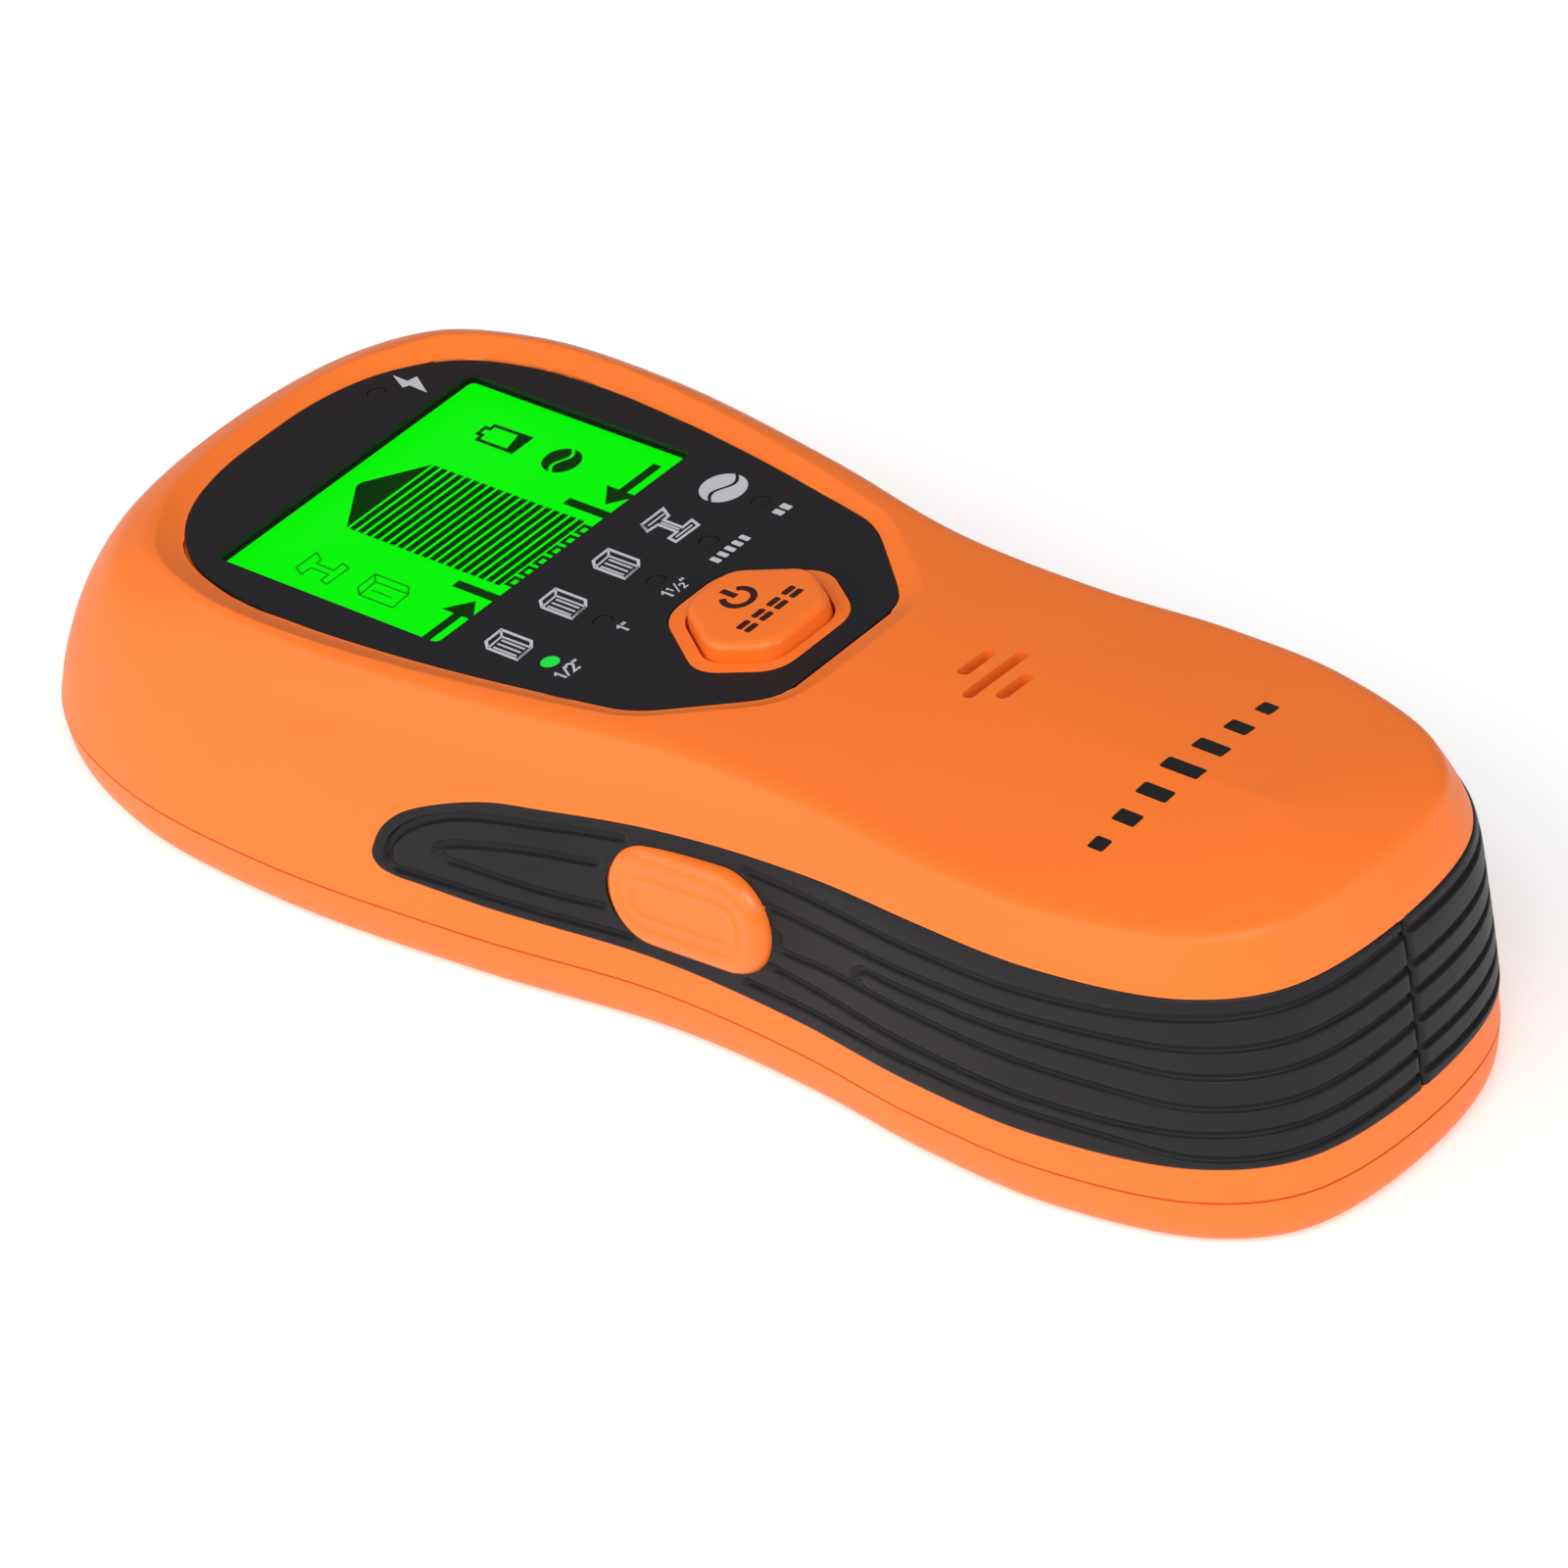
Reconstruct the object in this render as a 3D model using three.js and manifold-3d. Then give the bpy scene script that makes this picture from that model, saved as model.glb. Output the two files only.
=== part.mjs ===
// A handheld stud finder, lying on its sensing face.
// Millimetres. +Z up out of the display, +Y towards the head, +X to the user's right.
// The origin is at the bottom centre of the object.
import * as THREE from "three";
import { mergeVertices } from "three/addons/utils/BufferGeometryUtils.js";
import Module from "manifold-3d";

const wasm = await Module();
wasm.setup();

// ---------------------------------------------------------------- driving dimensions

const LENGTH = 165;
const FIT = 0.3; // gap between two pieces that touch
const RING_POINTS = 72; // points round the plan outline, an even number

// Plan outline of the right half at the parting line, from the head's tip to the handle's end.
const HALF_OUTLINE = [
  [0, 82.5],
  [18.5, 79.6],
  [29.6, 71.8],
  [35.2, 57.8],
  [35.9, 38],
  [32.4, 12.4],
  [27.9, -9],
  [26.9, -26],
  [27.4, -42],
  [26.3, -57],
  [21.3, -72.6],
  [14, -80],
  [0, -82.5],
];

// The outer skin: [height at head, height at handle end, inset at head, inset at handle end].
const SKIN_BOTTOM = [0, 0, 3.3, 3.3];
const SKIN_BOTTOM_EDGE = [0.8, 0.8, 1.5, 1.5];
const SKIN_BOTTOM_SIDE = [2.9, 2.9, 0.5, 0.5];
const SKIN_PARTING = [6.6, 6.6, 0, 0];
const SKIN_LIP = [10.5, 10.5, 1, 0];
const SKIN_BELLY = [17.5, 21, 4, 0.3];
const SKIN_SHOULDER = [22.8, 30.8, 8, 1];
const SKIN_CREASE = [25, 36.8, 11.8, 3.2];
const CROWN_RISE = 1.4; // the top face rises this much from its crease to the centre line

const FRONT_WALL = 3;
const REAR_WALL = 2;
const PARTING_Z = SKIN_PARTING[0];
const TOP_WALL = 2; // thickness of the top under its crease

// The deck is a plane parallel to the face panel, tilted down towards the head.
const DECK_SLOPE = 0.0925;
const DECK_TILT = Math.atan(DECK_SLOPE);
const DECK_Z = 31.28;

// Heights below are measured from the deck plane.
const PANEL_TOP = -0.6;
const PANEL_THICK = 0.5;
const PANEL_BOTTOM = PANEL_TOP - PANEL_THICK;
const POCKET_FLOOR = PANEL_BOTTOM - FIT;
const DECK_UNDER = -3.8;
const DISH = { width: 4.2, depth: 2 }; // sloped surround of the panel
const COLLAR_TOP = -0.65; // housing's ring round the mode button
const BOARD_TOP = -10;
const BOARD_THICK = 1.6;
const BOARD_UNDER = BOARD_TOP - BOARD_THICK;

const WINDOW = { width: 37.4, height: 31.3, centre: 41.35 };
const WINDOW_THICK = 0.3;
const LCD_GLASS_THICK = 2.2;
const LED_PITCH = 7.75;
const LED_ROW = 13.2;
const LED_RADIUS = 1;
const WARNING_LED = [11.2, 63.3];

const MODE_CENTRE = -1.2;
const MODE_OPENING = { side: 10.1, flatUp: 4.4, flatDown: 5.7, up: 9.5, down: 7.5, round: 2.6 };
const MODE_CAP_SCALE = 0.8;
const MODE_HOLE_SCALE = 0.845;
const MODE_COLLAR_SCALE = 0.965;
const MODE_FLANGE_SCALE = 0.95;
const MODE_PROUD = 1.25;
const MODE_TRAVEL = 0.7;

const SIDE_BUTTON = { length: 21.4, width: 11.4, proud: 1.7, travel: 0.8 };
const SIDE_BUTTON_PLACE = [-25.65, -13.2, 17.7];
const SIDE_TILT = THREE.MathUtils.degToRad(9); // how far it leans back with the wall
const SIDE_RISE = THREE.MathUtils.degToRad(7.5); // how far its handle end is turned up

const GRIP_THICK = 1.2;
const GRIP_PROUD = 0.25;
const GRIP_LOW = 10.6;
// Upper edge of the grip in side view, [y, z], from its rounded head end to past the handle end.
const GRIP_UPPER_EDGE = [
  [23.4, 12.6],
  [22.6, 15.4],
  [20.6, 17.6],
  [17.2, 19.5],
  [10.5, 21.9],
  [3.8, 22.9],
  [-9.9, 24.7],
  [-24.9, 26.8],
  [-38.1, 28.5],
  [-50.6, 29.4],
  [-71.1, 30.4],
  [-90, 31.4],
];

const SPEAKER = { x: 3, y: -29.5, pitch: 3, long: 9, short: 4.8, wide: 1.5 };
const BUZZER = { radius: 6, top: -2.6, bottom: -8 };

const BATTERY = { width: 26.5, thick: 17.5, body: 46.1, overall: 48.5, tail: -72, low: 4.2 };
const BAY_WALL = 1.2;
const BAY_HEAD = -18.8;
const BAY_ROOF = 22.6;
const DOOR = { half: 14.6, tail: -73.2, head: -20.2, thick: 1.8, hookLow: 2.4, hookTop: 3.4 };

const CASE_SCREWS = [
  [25.5, 60],
  [-25.5, 60],
  [20.3, -34],
  [-20.3, -34],
];
const CASE_SCREW = { head: 2.6, headTop: 2.6, shaft: 1.1, tip: 12.5, boss: 2.7, seat: 3.9 };
const BOSS_MEET = 7.2; // where the rear cover's bosses end, just under the front housing's
const BOARD_SCREWS = [
  [18.5, 17],
  [-18.5, 17],
  [16, 62.5],
  [-16, 62.5],
];
const BOARD_SCREW = { head: 1.8, headThick: 1.2, shaft: 0.8, length: 5.2, post: 2.2 };

// ---------------------------------------------------------------- materials

const plastic = (color, roughness) => new THREE.MeshStandardMaterial({ color, roughness, metalness: 0 });
const metal = (color, roughness) => new THREE.MeshStandardMaterial({ color, roughness, metalness: 1 });
const ORANGE = plastic(0xf2742c, 0.45);
const BLACK_SATIN = plastic(0x232125, 0.4);
const RUBBER = plastic(0x36343a, 0.75);
const CLEAR = plastic(0xe8f2ee, 0.08);
const DISPLAY = plastic(0x20e818, 0.3);
const WHITE = plastic(0xe9e9e4, 0.5);
const BLACK = plastic(0x1a1a1c, 0.55);
const BOARD_GREEN = plastic(0x1e5b35, 0.5);
const RED = plastic(0xb3231d, 0.5);
const FOAM = plastic(0x3a3a3c, 0.95);
const STEEL = metal(0xb8b8bc, 0.35);
const BATTERY_CASE = metal(0x3c4250, 0.4);

// ---------------------------------------------------------------- solids and meshes

function solid(geometry) {
  const plain = geometry.clone();
  plain.deleteAttribute("normal");
  plain.deleteAttribute("uv");
  const merged = mergeVertices(plain, 1e-4);
  const index = merged.index.array;
  return new wasm.Manifold(
    new wasm.Mesh({
      numProp: 3,
      vertProperties: new Float32Array(merged.attributes.position.array),
      triVerts: new Uint32Array(index),
    }),
  );
}

function geometryOf(manifold) {
  const mesh = manifold.getMesh();
  const geometry = new THREE.BufferGeometry();
  geometry.setAttribute("position", new THREE.BufferAttribute(mesh.vertProperties, 3));
  geometry.setIndex(new THREE.BufferAttribute(mesh.triVerts, 1));
  geometry.computeVertexNormals();
  return geometry;
}

function add(parent, name, shape, material) {
  const geometry = shape.isBufferGeometry ? shape : geometryOf(shape);
  const mesh = new THREE.Mesh(geometry, material);
  mesh.name = name;
  parent.add(mesh);
  return mesh;
}

const joined = (parts) => parts.reduce((sum, part) => sum.add(part));
const cut = (body, tools) => tools.reduce((rest, tool) => rest.subtract(tool), body);

// ---------------------------------------------------------------- plain shapes

function box(x0, x1, y0, y1, z0, z1) {
  const geometry = new THREE.BoxGeometry(x1 - x0, y1 - y0, z1 - z0);
  return solid(geometry.translate((x0 + x1) / 2, (y0 + y1) / 2, (z0 + z1) / 2));
}

function upright(x, y, radius, z0, z1, sides = 20) {
  const geometry = new THREE.CylinderGeometry(radius, radius, z1 - z0, sides);
  return solid(geometry.rotateX(Math.PI / 2).translate(x, y, (z0 + z1) / 2));
}

// A polygon whose corners are rounded.
function roundedPolygon(points, radius) {
  const shape = new THREE.Shape();
  points.forEach((point, i) => {
    const corner = new THREE.Vector2(...point);
    const before = new THREE.Vector2(...points[(i + points.length - 1) % points.length]);
    const after = new THREE.Vector2(...points[(i + 1) % points.length]);
    const start = corner.clone().add(before.sub(corner).setLength(radius));
    const end = corner.clone().add(after.sub(corner).setLength(radius));
    if (i === 0) shape.moveTo(start.x, start.y);
    else shape.lineTo(start.x, start.y);
    shape.quadraticCurveTo(corner.x, corner.y, end.x, end.y);
  });
  shape.closePath();
  return shape;
}

function roundedRectangle(width, height, radius, y = 0) {
  const w = width / 2;
  const h = height / 2;
  const corners = [
    [-w, y - h],
    [w, y - h],
    [w, y + h],
    [-w, y + h],
  ];
  return roundedPolygon(corners, radius);
}

function stadium(length, width) {
  const reach = (length - width) / 2;
  const shape = new THREE.Shape();
  shape.absarc(reach, 0, width / 2, -Math.PI / 2, Math.PI / 2, false);
  shape.absarc(-reach, 0, width / 2, Math.PI / 2, 1.5 * Math.PI, false);
  shape.closePath();
  return shape;
}

function prism(shape, z0, z1, curveSegments = 4) {
  const geometry = new THREE.ExtrudeGeometry(shape, {
    depth: z1 - z0,
    bevelEnabled: false,
    curveSegments,
  });
  return solid(geometry.translate(0, 0, z0));
}

// A prism whose top edge is rounded over by a bevel.
function crownedPrism(shape, z0, z1, bevel, curveSegments = 6) {
  const geometry = new THREE.ExtrudeGeometry(shape, {
    depth: z1 - z0 + 1,
    bevelThickness: bevel,
    bevelSize: bevel,
    bevelOffset: -bevel,
    bevelSegments: 2,
    curveSegments,
  });
  const below = box(-100, 100, -100, 100, z0 - 20, z0);
  return solid(geometry.translate(0, 0, z0 - 1 - bevel)).subtract(below);
}

// ---------------------------------------------------------------- the plan outline and the skin

const outlineCurve = new THREE.CatmullRomCurve3(
  [...HALF_OUTLINE, ...HALF_OUTLINE.slice(1, -1).reverse().map(([x, y]) => [-x, y])].map(
    ([x, y]) => new THREE.Vector3(x, y, 0),
  ),
  true,
  "centripetal",
);

// One ring of the skin, drawn in from the outline and lifted to its height.
function ring([zHead, zTail, insetHead, insetTail], deeper = 0, lower = 0) {
  const points = [];
  for (let i = 0; i < RING_POINTS; i++) {
    const point = outlineCurve.getPoint(i / RING_POINTS);
    const along = outlineCurve.getTangent(i / RING_POINTS);
    const share = (point.y + LENGTH / 2) / LENGTH;
    const inset = THREE.MathUtils.lerp(insetTail, insetHead, share) + deeper;
    const z = THREE.MathUtils.lerp(zTail, zHead, share) - lower;
    points.push(new THREE.Vector3(point.x + along.y * inset, point.y - along.x * inset, z));
  }
  return points;
}

// Narrows a ring towards the centre line and lifts it, for the crown of the top face.
function crownRing(base, share) {
  return base.map(({ x, y, z }) => {
    const pull = 1 - 0.16 * share;
    return new THREE.Vector3(x * (1 - share), y * pull, z + (1 - (1 - share) ** 2) * CROWN_RISE);
  });
}

// A closed surface through rings that are mirrored about x = 0.
function loft(rings) {
  const n = RING_POINTS;
  const index = [];
  for (let k = 0; k + 1 < rings.length; k++) {
    for (let i = 0; i < n; i++) {
      const j = (i + 1) % n;
      const low = k * n;
      const high = low + n;
      index.push(low + i, high + j, low + j, low + i, high + i, high + j);
    }
  }
  const cap = (start, up) => {
    for (let i = 0; i < n / 2; i++) {
      const right = [start + i, start + i + 1];
      const left = [start + ((n - i) % n), start + n - i - 1];
      const faces = [
        [right[0], right[1], left[1]],
        [right[0], left[1], left[0]],
      ];
      faces
        .filter((face) => new Set(face).size === 3)
        .forEach(([a, b, c]) => index.push(...(up ? [a, c, b] : [a, b, c])));
    }
  };
  cap(0, false);
  cap((rings.length - 1) * n, true);
  const geometry = new THREE.BufferGeometry();
  const numbers = rings.flat().flatMap((point) => point.toArray());
  geometry.setAttribute("position", new THREE.Float32BufferAttribute(numbers, 3));
  geometry.setIndex(index);
  return solid(geometry);
}

// The part of the skin above the parting line, drawn in by a distance.
function upperSkin(inset, floor) {
  const crease = ring(SKIN_CREASE, inset);
  const rings = [SKIN_LIP, SKIN_BELLY, SKIN_SHOULDER].map((level) => ring(level, inset));
  const foot = ring([floor, floor, 0, 0], inset);
  return loft([foot, ...rings, crease, crownRing(crease, 0.3), crownRing(crease, 0.65)]);
}

// ---------------------------------------------------------------- the deck frame

const deck = new THREE.Group();
deck.position.z = DECK_Z;
deck.rotation.x = -DECK_TILT;
deck.updateMatrix();
const onDeck = (manifold) => solid(geometryOf(manifold).applyMatrix4(deck.matrix));

const mirrored = (points) => points.map(([x, y]) => [-x, y]).reverse();

// The face panel: straight sides below, a round head above.
function panelShape() {
  const shape = new THREE.Shape();
  const right = [
    [19.4, 8],
    [21.3, 20],
    [22.6, 32],
    [23.1, 43],
    [22.4, 52],
    [19.7, 60],
    [14, 65.5],
    [7.2, 67.9],
    [0, 68.3],
  ];
  const all = [...right, ...mirrored(right).slice(1)];
  shape.moveTo(-8.6, -11.6);
  shape.lineTo(8.6, -11.6);
  shape.lineTo(10.2, -10.2);
  shape.lineTo(17.3, -1);
  shape.lineTo(18.1, 0.8);
  shape.splineThru(all.map(([x, y]) => new THREE.Vector2(x, y)));
  shape.lineTo(-18.1, 0.8);
  shape.lineTo(-17.3, -1);
  shape.lineTo(-10.2, -10.2);
  shape.closePath();
  return shape;
}

// The mode button's outline: a hexagon with a corner to each side.
function hexagon(scale) {
  const { side, flatUp, flatDown, up, down, round } = MODE_OPENING;
  const half = [
    [flatDown, MODE_CENTRE - down * scale],
    [side, MODE_CENTRE],
    [flatUp, MODE_CENTRE + up * scale],
  ].map(([x, y]) => [x * scale, y]);
  return roundedPolygon([...half, ...mirrored(half)], round * scale);
}

const ledPlaces = [-2, -1, 0, 1, 2].map((k) => [k * LED_PITCH, LED_ROW]);
const lightPlaces = [...ledPlaces, WARNING_LED];
const windowShape = (margin) =>
  roundedRectangle(WINDOW.width + 2 * margin, WINDOW.height + 2 * margin, 0.8, WINDOW.centre);

// ---------------------------------------------------------------- the side button's frame

const sideFrame = new THREE.Group();
const outward = new THREE.Vector3(-Math.cos(SIDE_TILT), 0, Math.sin(SIDE_TILT));
const towardsTail = new THREE.Vector3(0, -1, 0);
const upAlongWall = new THREE.Vector3().crossVectors(outward, towardsTail);
sideFrame.quaternion.setFromRotationMatrix(
  new THREE.Matrix4().makeBasis(towardsTail, upAlongWall, outward),
);
sideFrame.rotateZ(SIDE_RISE);
sideFrame.position.set(...SIDE_BUTTON_PLACE);
sideFrame.updateMatrix();
const onSide = (manifold) => solid(geometryOf(manifold).applyMatrix4(sideFrame.matrix));
const sideHole = onSide(
  prism(stadium(SIDE_BUTTON.length + 2 * FIT, SIDE_BUTTON.width + 2 * FIT), -4.2, 6, 8),
);

// ---------------------------------------------------------------- housing

// The grip's outline in side view, carried right across the object.
function gripPrism(margin) {
  const shape = new THREE.Shape();
  const upper = GRIP_UPPER_EDGE.map(([y, z]) => new THREE.Vector2(y + margin, z + margin));
  shape.moveTo(-90, GRIP_LOW - margin);
  shape.lineTo(22 + margin, GRIP_LOW - margin);
  shape.lineTo(upper[0].x, upper[0].y);
  shape.splineThru(upper.slice(1));
  shape.closePath();
  const geometry = new THREE.ExtrudeGeometry(shape, {
    depth: 100,
    bevelEnabled: false,
    curveSegments: 3,
  });
  geometry.translate(0, 0, -50);
  const turned = new THREE.Matrix4().makeBasis(
    new THREE.Vector3(0, 1, 0),
    new THREE.Vector3(0, 0, 1),
    new THREE.Vector3(1, 0, 0),
  );
  return solid(geometry.applyMatrix4(turned));
}

function caseBosses(z0, z1, radius = CASE_SCREW.boss) {
  return CASE_SCREWS.map(([x, y]) => upright(x, y, radius, z0, z1, 16));
}

function frontHousing() {
  const outer = upperSkin(0, PARTING_Z);
  const cavityCrease = ring(SKIN_CREASE, FRONT_WALL, TOP_WALL);
  const cavity = loft([
    ring([PARTING_Z - 1, PARTING_Z - 1, 0, 0], FRONT_WALL),
    ring(SKIN_LIP, FRONT_WALL),
    ring(SKIN_BELLY, FRONT_WALL),
    ring(SKIN_SHOULDER, FRONT_WALL, TOP_WALL),
    cavityCrease,
  ]);
  const deckSlab = onDeck(prism(grownPanel(1.5), DECK_UNDER, 0.6));
  const posts = BOARD_SCREWS.map(([x, y]) =>
    onDeck(upright(x, y, BOARD_SCREW.post, BOARD_TOP + FIT, DECK_UNDER + 0.5, 12)),
  );
  const bosses = caseBosses(BOSS_MEET + FIT, 34);
  const buzzerWall = onDeck(upright(SPEAKER.x, SPEAKER.y, BUZZER.radius + 1.5, -5, -TOP_WALL + 0.5, 24));
  const body = joined([outer.subtract(cavity), deckSlab, ...posts, buzzerWall, ...bosses]);
  const gripPocket = gripPrism(FIT).subtract(upperSkin(GRIP_THICK + FIT - GRIP_PROUD, PARTING_Z));
  const dish = new THREE.ExtrudeGeometry(panelShape(), {
    depth: 6,
    bevelThickness: DISH.depth,
    bevelSize: DISH.width,
    bevelOffset: FIT,
    bevelSegments: 1,
    curveSegments: 3,
  }).translate(0, 0, PANEL_TOP + DISH.depth);
  const slots = [
    [-1, SPEAKER.short, -0.6],
    [0, SPEAKER.long, 0],
    [1, SPEAKER.short, 0.6],
  ].map(([row, length, shift]) => {
    const shape = stadium(length, SPEAKER.wide);
    return prism(shape, -4, 6).translate([SPEAKER.x + shift, SPEAKER.y + row * SPEAKER.pitch, 0]);
  });
  const deckTools = [
    solid(dish),
    prism(grownPanel(FIT), POCKET_FLOOR, 5).subtract(prism(hexagon(MODE_COLLAR_SCALE), POCKET_FLOOR - 1, COLLAR_TOP)),
    prism(windowShape(1), DECK_UNDER - 1, 0),
    prism(hexagon(MODE_HOLE_SCALE), DECK_UNDER - 1, 0),
    upright(SPEAKER.x, SPEAKER.y, BUZZER.radius + FIT, -6, BUZZER.top + FIT, 24),
    ...lightPlaces.map(([x, y]) => upright(x, y, LED_RADIUS + FIT, DECK_UNDER - 1, 0, 12)),
    ...BOARD_SCREWS.map(([x, y]) =>
      upright(x, y, BOARD_SCREW.shaft + FIT, BOARD_TOP - 1, BOARD_UNDER + BOARD_SCREW.length + 1, 12),
    ),
    ...slots,
  ];
  const pilotHoles = CASE_SCREWS.map(([x, y]) =>
    upright(x, y, CASE_SCREW.shaft + FIT, 6, CASE_SCREW.tip + 1, 16),
  );
  const inside = body.intersect(outer);
  return cut(inside, [...deckTools.map(onDeck), ...pilotHoles, gripPocket, sideHole]);
}

// The panel's outline, wider by a margin all round.
function grownPanel(margin) {
  const halfWidth = 20;
  const halfLength = 40;
  const centre = 28.3;
  const points = panelShape()
    .getPoints(3)
    .map(({ x, y }) => {
      const wide = x * (1 + margin / halfWidth);
      const long = centre + (y - centre) * (1 + margin / halfLength);
      return new THREE.Vector2(wide, long);
    });
  return new THREE.Shape(points);
}

function grip(side) {
  const band = upperSkin(-GRIP_PROUD, PARTING_Z)
    .subtract(upperSkin(GRIP_THICK - GRIP_PROUD, PARTING_Z - 1))
    .intersect(gripPrism(0));
  const half = side < 0 ? box(-60, -FIT / 2, -100, 60, 0, 60) : box(FIT / 2, 60, -100, 60, 0, 60);
  return band.intersect(half).subtract(sideHole);
}

// ---------------------------------------------------------------- rear cover, battery bay and door

function bayOutline(wall) {
  const half = BATTERY.width / 2 + 0.45 + wall;
  const tail = BATTERY.tail - 0.3;
  const right = [
    [10 + wall * 0.6, tail - 3.3 - wall],
    [half, tail - wall * 0.4],
    [half, BAY_HEAD + wall],
  ];
  return new THREE.Shape([...right, ...mirrored(right)].map(([x, y]) => new THREE.Vector2(x, y)));
}

function rearCover() {
  const seam = PARTING_Z - FIT;
  const outer = loft([
    ring(SKIN_BOTTOM),
    ring(SKIN_BOTTOM_EDGE),
    ring(SKIN_BOTTOM_SIDE),
    ring([seam, seam, 0, 0]),
  ]);
  const hollow = loft([
    ring([REAR_WALL, REAR_WALL, 1.6, 1.6], REAR_WALL),
    ring([seam + 1, seam + 1, 0, 0], REAR_WALL),
  ]);
  const tongueTop = seam + 1.8;
  const tongue = loft([
    ring([REAR_WALL, REAR_WALL, 0, 0], FRONT_WALL + FIT),
    ring([tongueTop, tongueTop, 0, 0], FRONT_WALL + FIT + 0.6),
  ]).subtract(
    loft([
      ring([REAR_WALL - 1, REAR_WALL - 1, 0, 0], FRONT_WALL + 1.5),
      ring([tongueTop + 1, tongueTop + 1, 0, 0], FRONT_WALL + 1.5),
    ]),
  );
  // The tongue leans against the wall below the seam, so that it is one piece with the tray.
  const foot = loft([
    ring([REAR_WALL, REAR_WALL, 0, 0], REAR_WALL - 0.5),
    ring([seam - 0.5, seam - 0.5, 0, 0], REAR_WALL - 0.5),
  ]).subtract(
    loft([
      ring([REAR_WALL - 1, REAR_WALL - 1, 0, 0], FRONT_WALL + 1.5),
      ring([seam, seam, 0, 0], FRONT_WALL + 1.5),
    ]),
  );
  const bay = prism(bayOutline(BAY_WALL), REAR_WALL - 0.5, BAY_ROOF + BAY_WALL);
  const bosses = caseBosses(REAR_WALL - 0.5, BOSS_MEET);
  const seats = caseBosses(REAR_WALL - 0.5, CASE_SCREW.headTop + 1.8, CASE_SCREW.seat);
  const ribs = [5, 50].map((y) => box(-20, 20, y - 1, y + 1, REAR_WALL - 0.5, 2.7));
  const body = joined([outer.subtract(hollow), tongue, foot, bay, ...bosses, ...seats, ...ribs]);
  const tools = [
    prism(bayOutline(0), REAR_WALL, BAY_ROOF),
    box(-DOOR.half - FIT, DOOR.half + FIT, DOOR.tail - FIT, DOOR.head + FIT, -1, REAR_WALL + 0.1),
    box(-5, 5, BAY_HEAD - 0.5, BAY_HEAD + BAY_WALL + 0.5, 8, 16),
    ...caseBosses(BOSS_MEET, tongueTop + 1, CASE_SCREW.boss + FIT),
    ...CASE_SCREWS.map(([x, y]) => upright(x, y, CASE_SCREW.head + FIT, -1, CASE_SCREW.headTop + FIT)),
    ...CASE_SCREWS.map(([x, y]) => upright(x, y, CASE_SCREW.shaft + FIT, -1, 9, 16)),
  ];
  return cut(body, tools);
}

// The door turns about the lower edge of its tail end, with its hooks over the cover's floor.
function batteryDoor() {
  const { half, tail, head, thick, hookLow, hookTop } = DOOR;
  const plate = box(-half, half, tail, head, 0, thick);
  const hooks = [-8, 8].map((x) =>
    joined([
      box(x - 2, x + 2, tail, tail + 1.2, thick - 0.5, hookTop),
      box(x - 2, x + 2, tail - 1.9, tail + 1.2, hookLow, hookTop),
    ]),
  );
  const latch = joined([
    box(-4, 4, head - 1.3, head - 0.2, thick - 0.5, hookTop),
    box(-4, 4, head - 1.3, head + 0.1, hookLow, hookTop),
  ]);
  const fingerRecess = box(-5, 5, head - 3.4, head - 1.6, -1, 0.8);
  return joined([plate, ...hooks, latch]).subtract(fingerRecess);
}

// ---------------------------------------------------------------- buttons and their switches

function modeButton() {
  const cap = crownedPrism(hexagon(MODE_CAP_SCALE), DECK_UNDER - FIT - 0.6, MODE_PROUD, 0.8);
  const flange = prism(hexagon(MODE_FLANGE_SCALE), DECK_UNDER - FIT - 1, DECK_UNDER - FIT);
  const stem = upright(0, MODE_CENTRE, 2, DECK_UNDER - FIT - 1.8, DECK_UNDER - FIT - 0.5);
  return joined([cap, flange, stem]);
}

const MODE_STEM_END = DECK_UNDER - FIT - 1.8;

// A push switch: a square body with a round well, and a plunger that sinks into it.
function switchBody(top, bottom) {
  const body = prism(roundedRectangle(6, 6, 0.4), bottom, top);
  return body.subtract(upright(0, 0, 1.6 + FIT, bottom + 0.5, top + 1, 16));
}

function sideButton() {
  const { length, width, proud } = SIDE_BUTTON;
  const cap = crownedPrism(stadium(length, width), -4.4, proud, 1, 8);
  const flange = prism(stadium(length + 2, width + 2), -5, -4, 8);
  const stem = upright(0, 0, 2, -6, -4.5);
  return joined([cap, flange, stem]);
}

// ---------------------------------------------------------------- small pieces

// A wire of round section along a smooth route.
function wire(route, radius) {
  const curve = new THREE.CatmullRomCurve3(route.map((point) => new THREE.Vector3(...point)));
  const section = new THREE.Shape();
  const SIDES = 8;
  for (let i = 0; i < SIDES; i++) {
    const angle = (2 * Math.PI * i) / SIDES;
    const place = [radius * Math.cos(angle), radius * Math.sin(angle)];
    if (i === 0) section.moveTo(...place);
    else section.lineTo(...place);
  }
  return solid(
    new THREE.ExtrudeGeometry(section, { steps: 10, extrudePath: curve, bevelEnabled: false }),
  );
}

function batteryShape() {
  const { width, thick, body, overall, tail, low } = BATTERY;
  const section = roundedRectangle(width, thick, 2.2);
  const geometry = new THREE.ExtrudeGeometry(section, {
    depth: body,
    bevelEnabled: false,
    curveSegments: 3,
  });
  geometry.rotateX(-Math.PI / 2).translate(0, tail, low + thick / 2);
  const terminals = [
    [-6.35, 4],
    [6.35, 2.9],
  ].map(([x, radius]) => {
    const stud = new THREE.CylinderGeometry(radius, radius, overall - body + 0.5, 16);
    return solid(stud.translate(x, tail + (body + overall - 0.5) / 2, low + thick / 2));
  });
  return joined([solid(geometry), ...terminals]);
}

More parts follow.
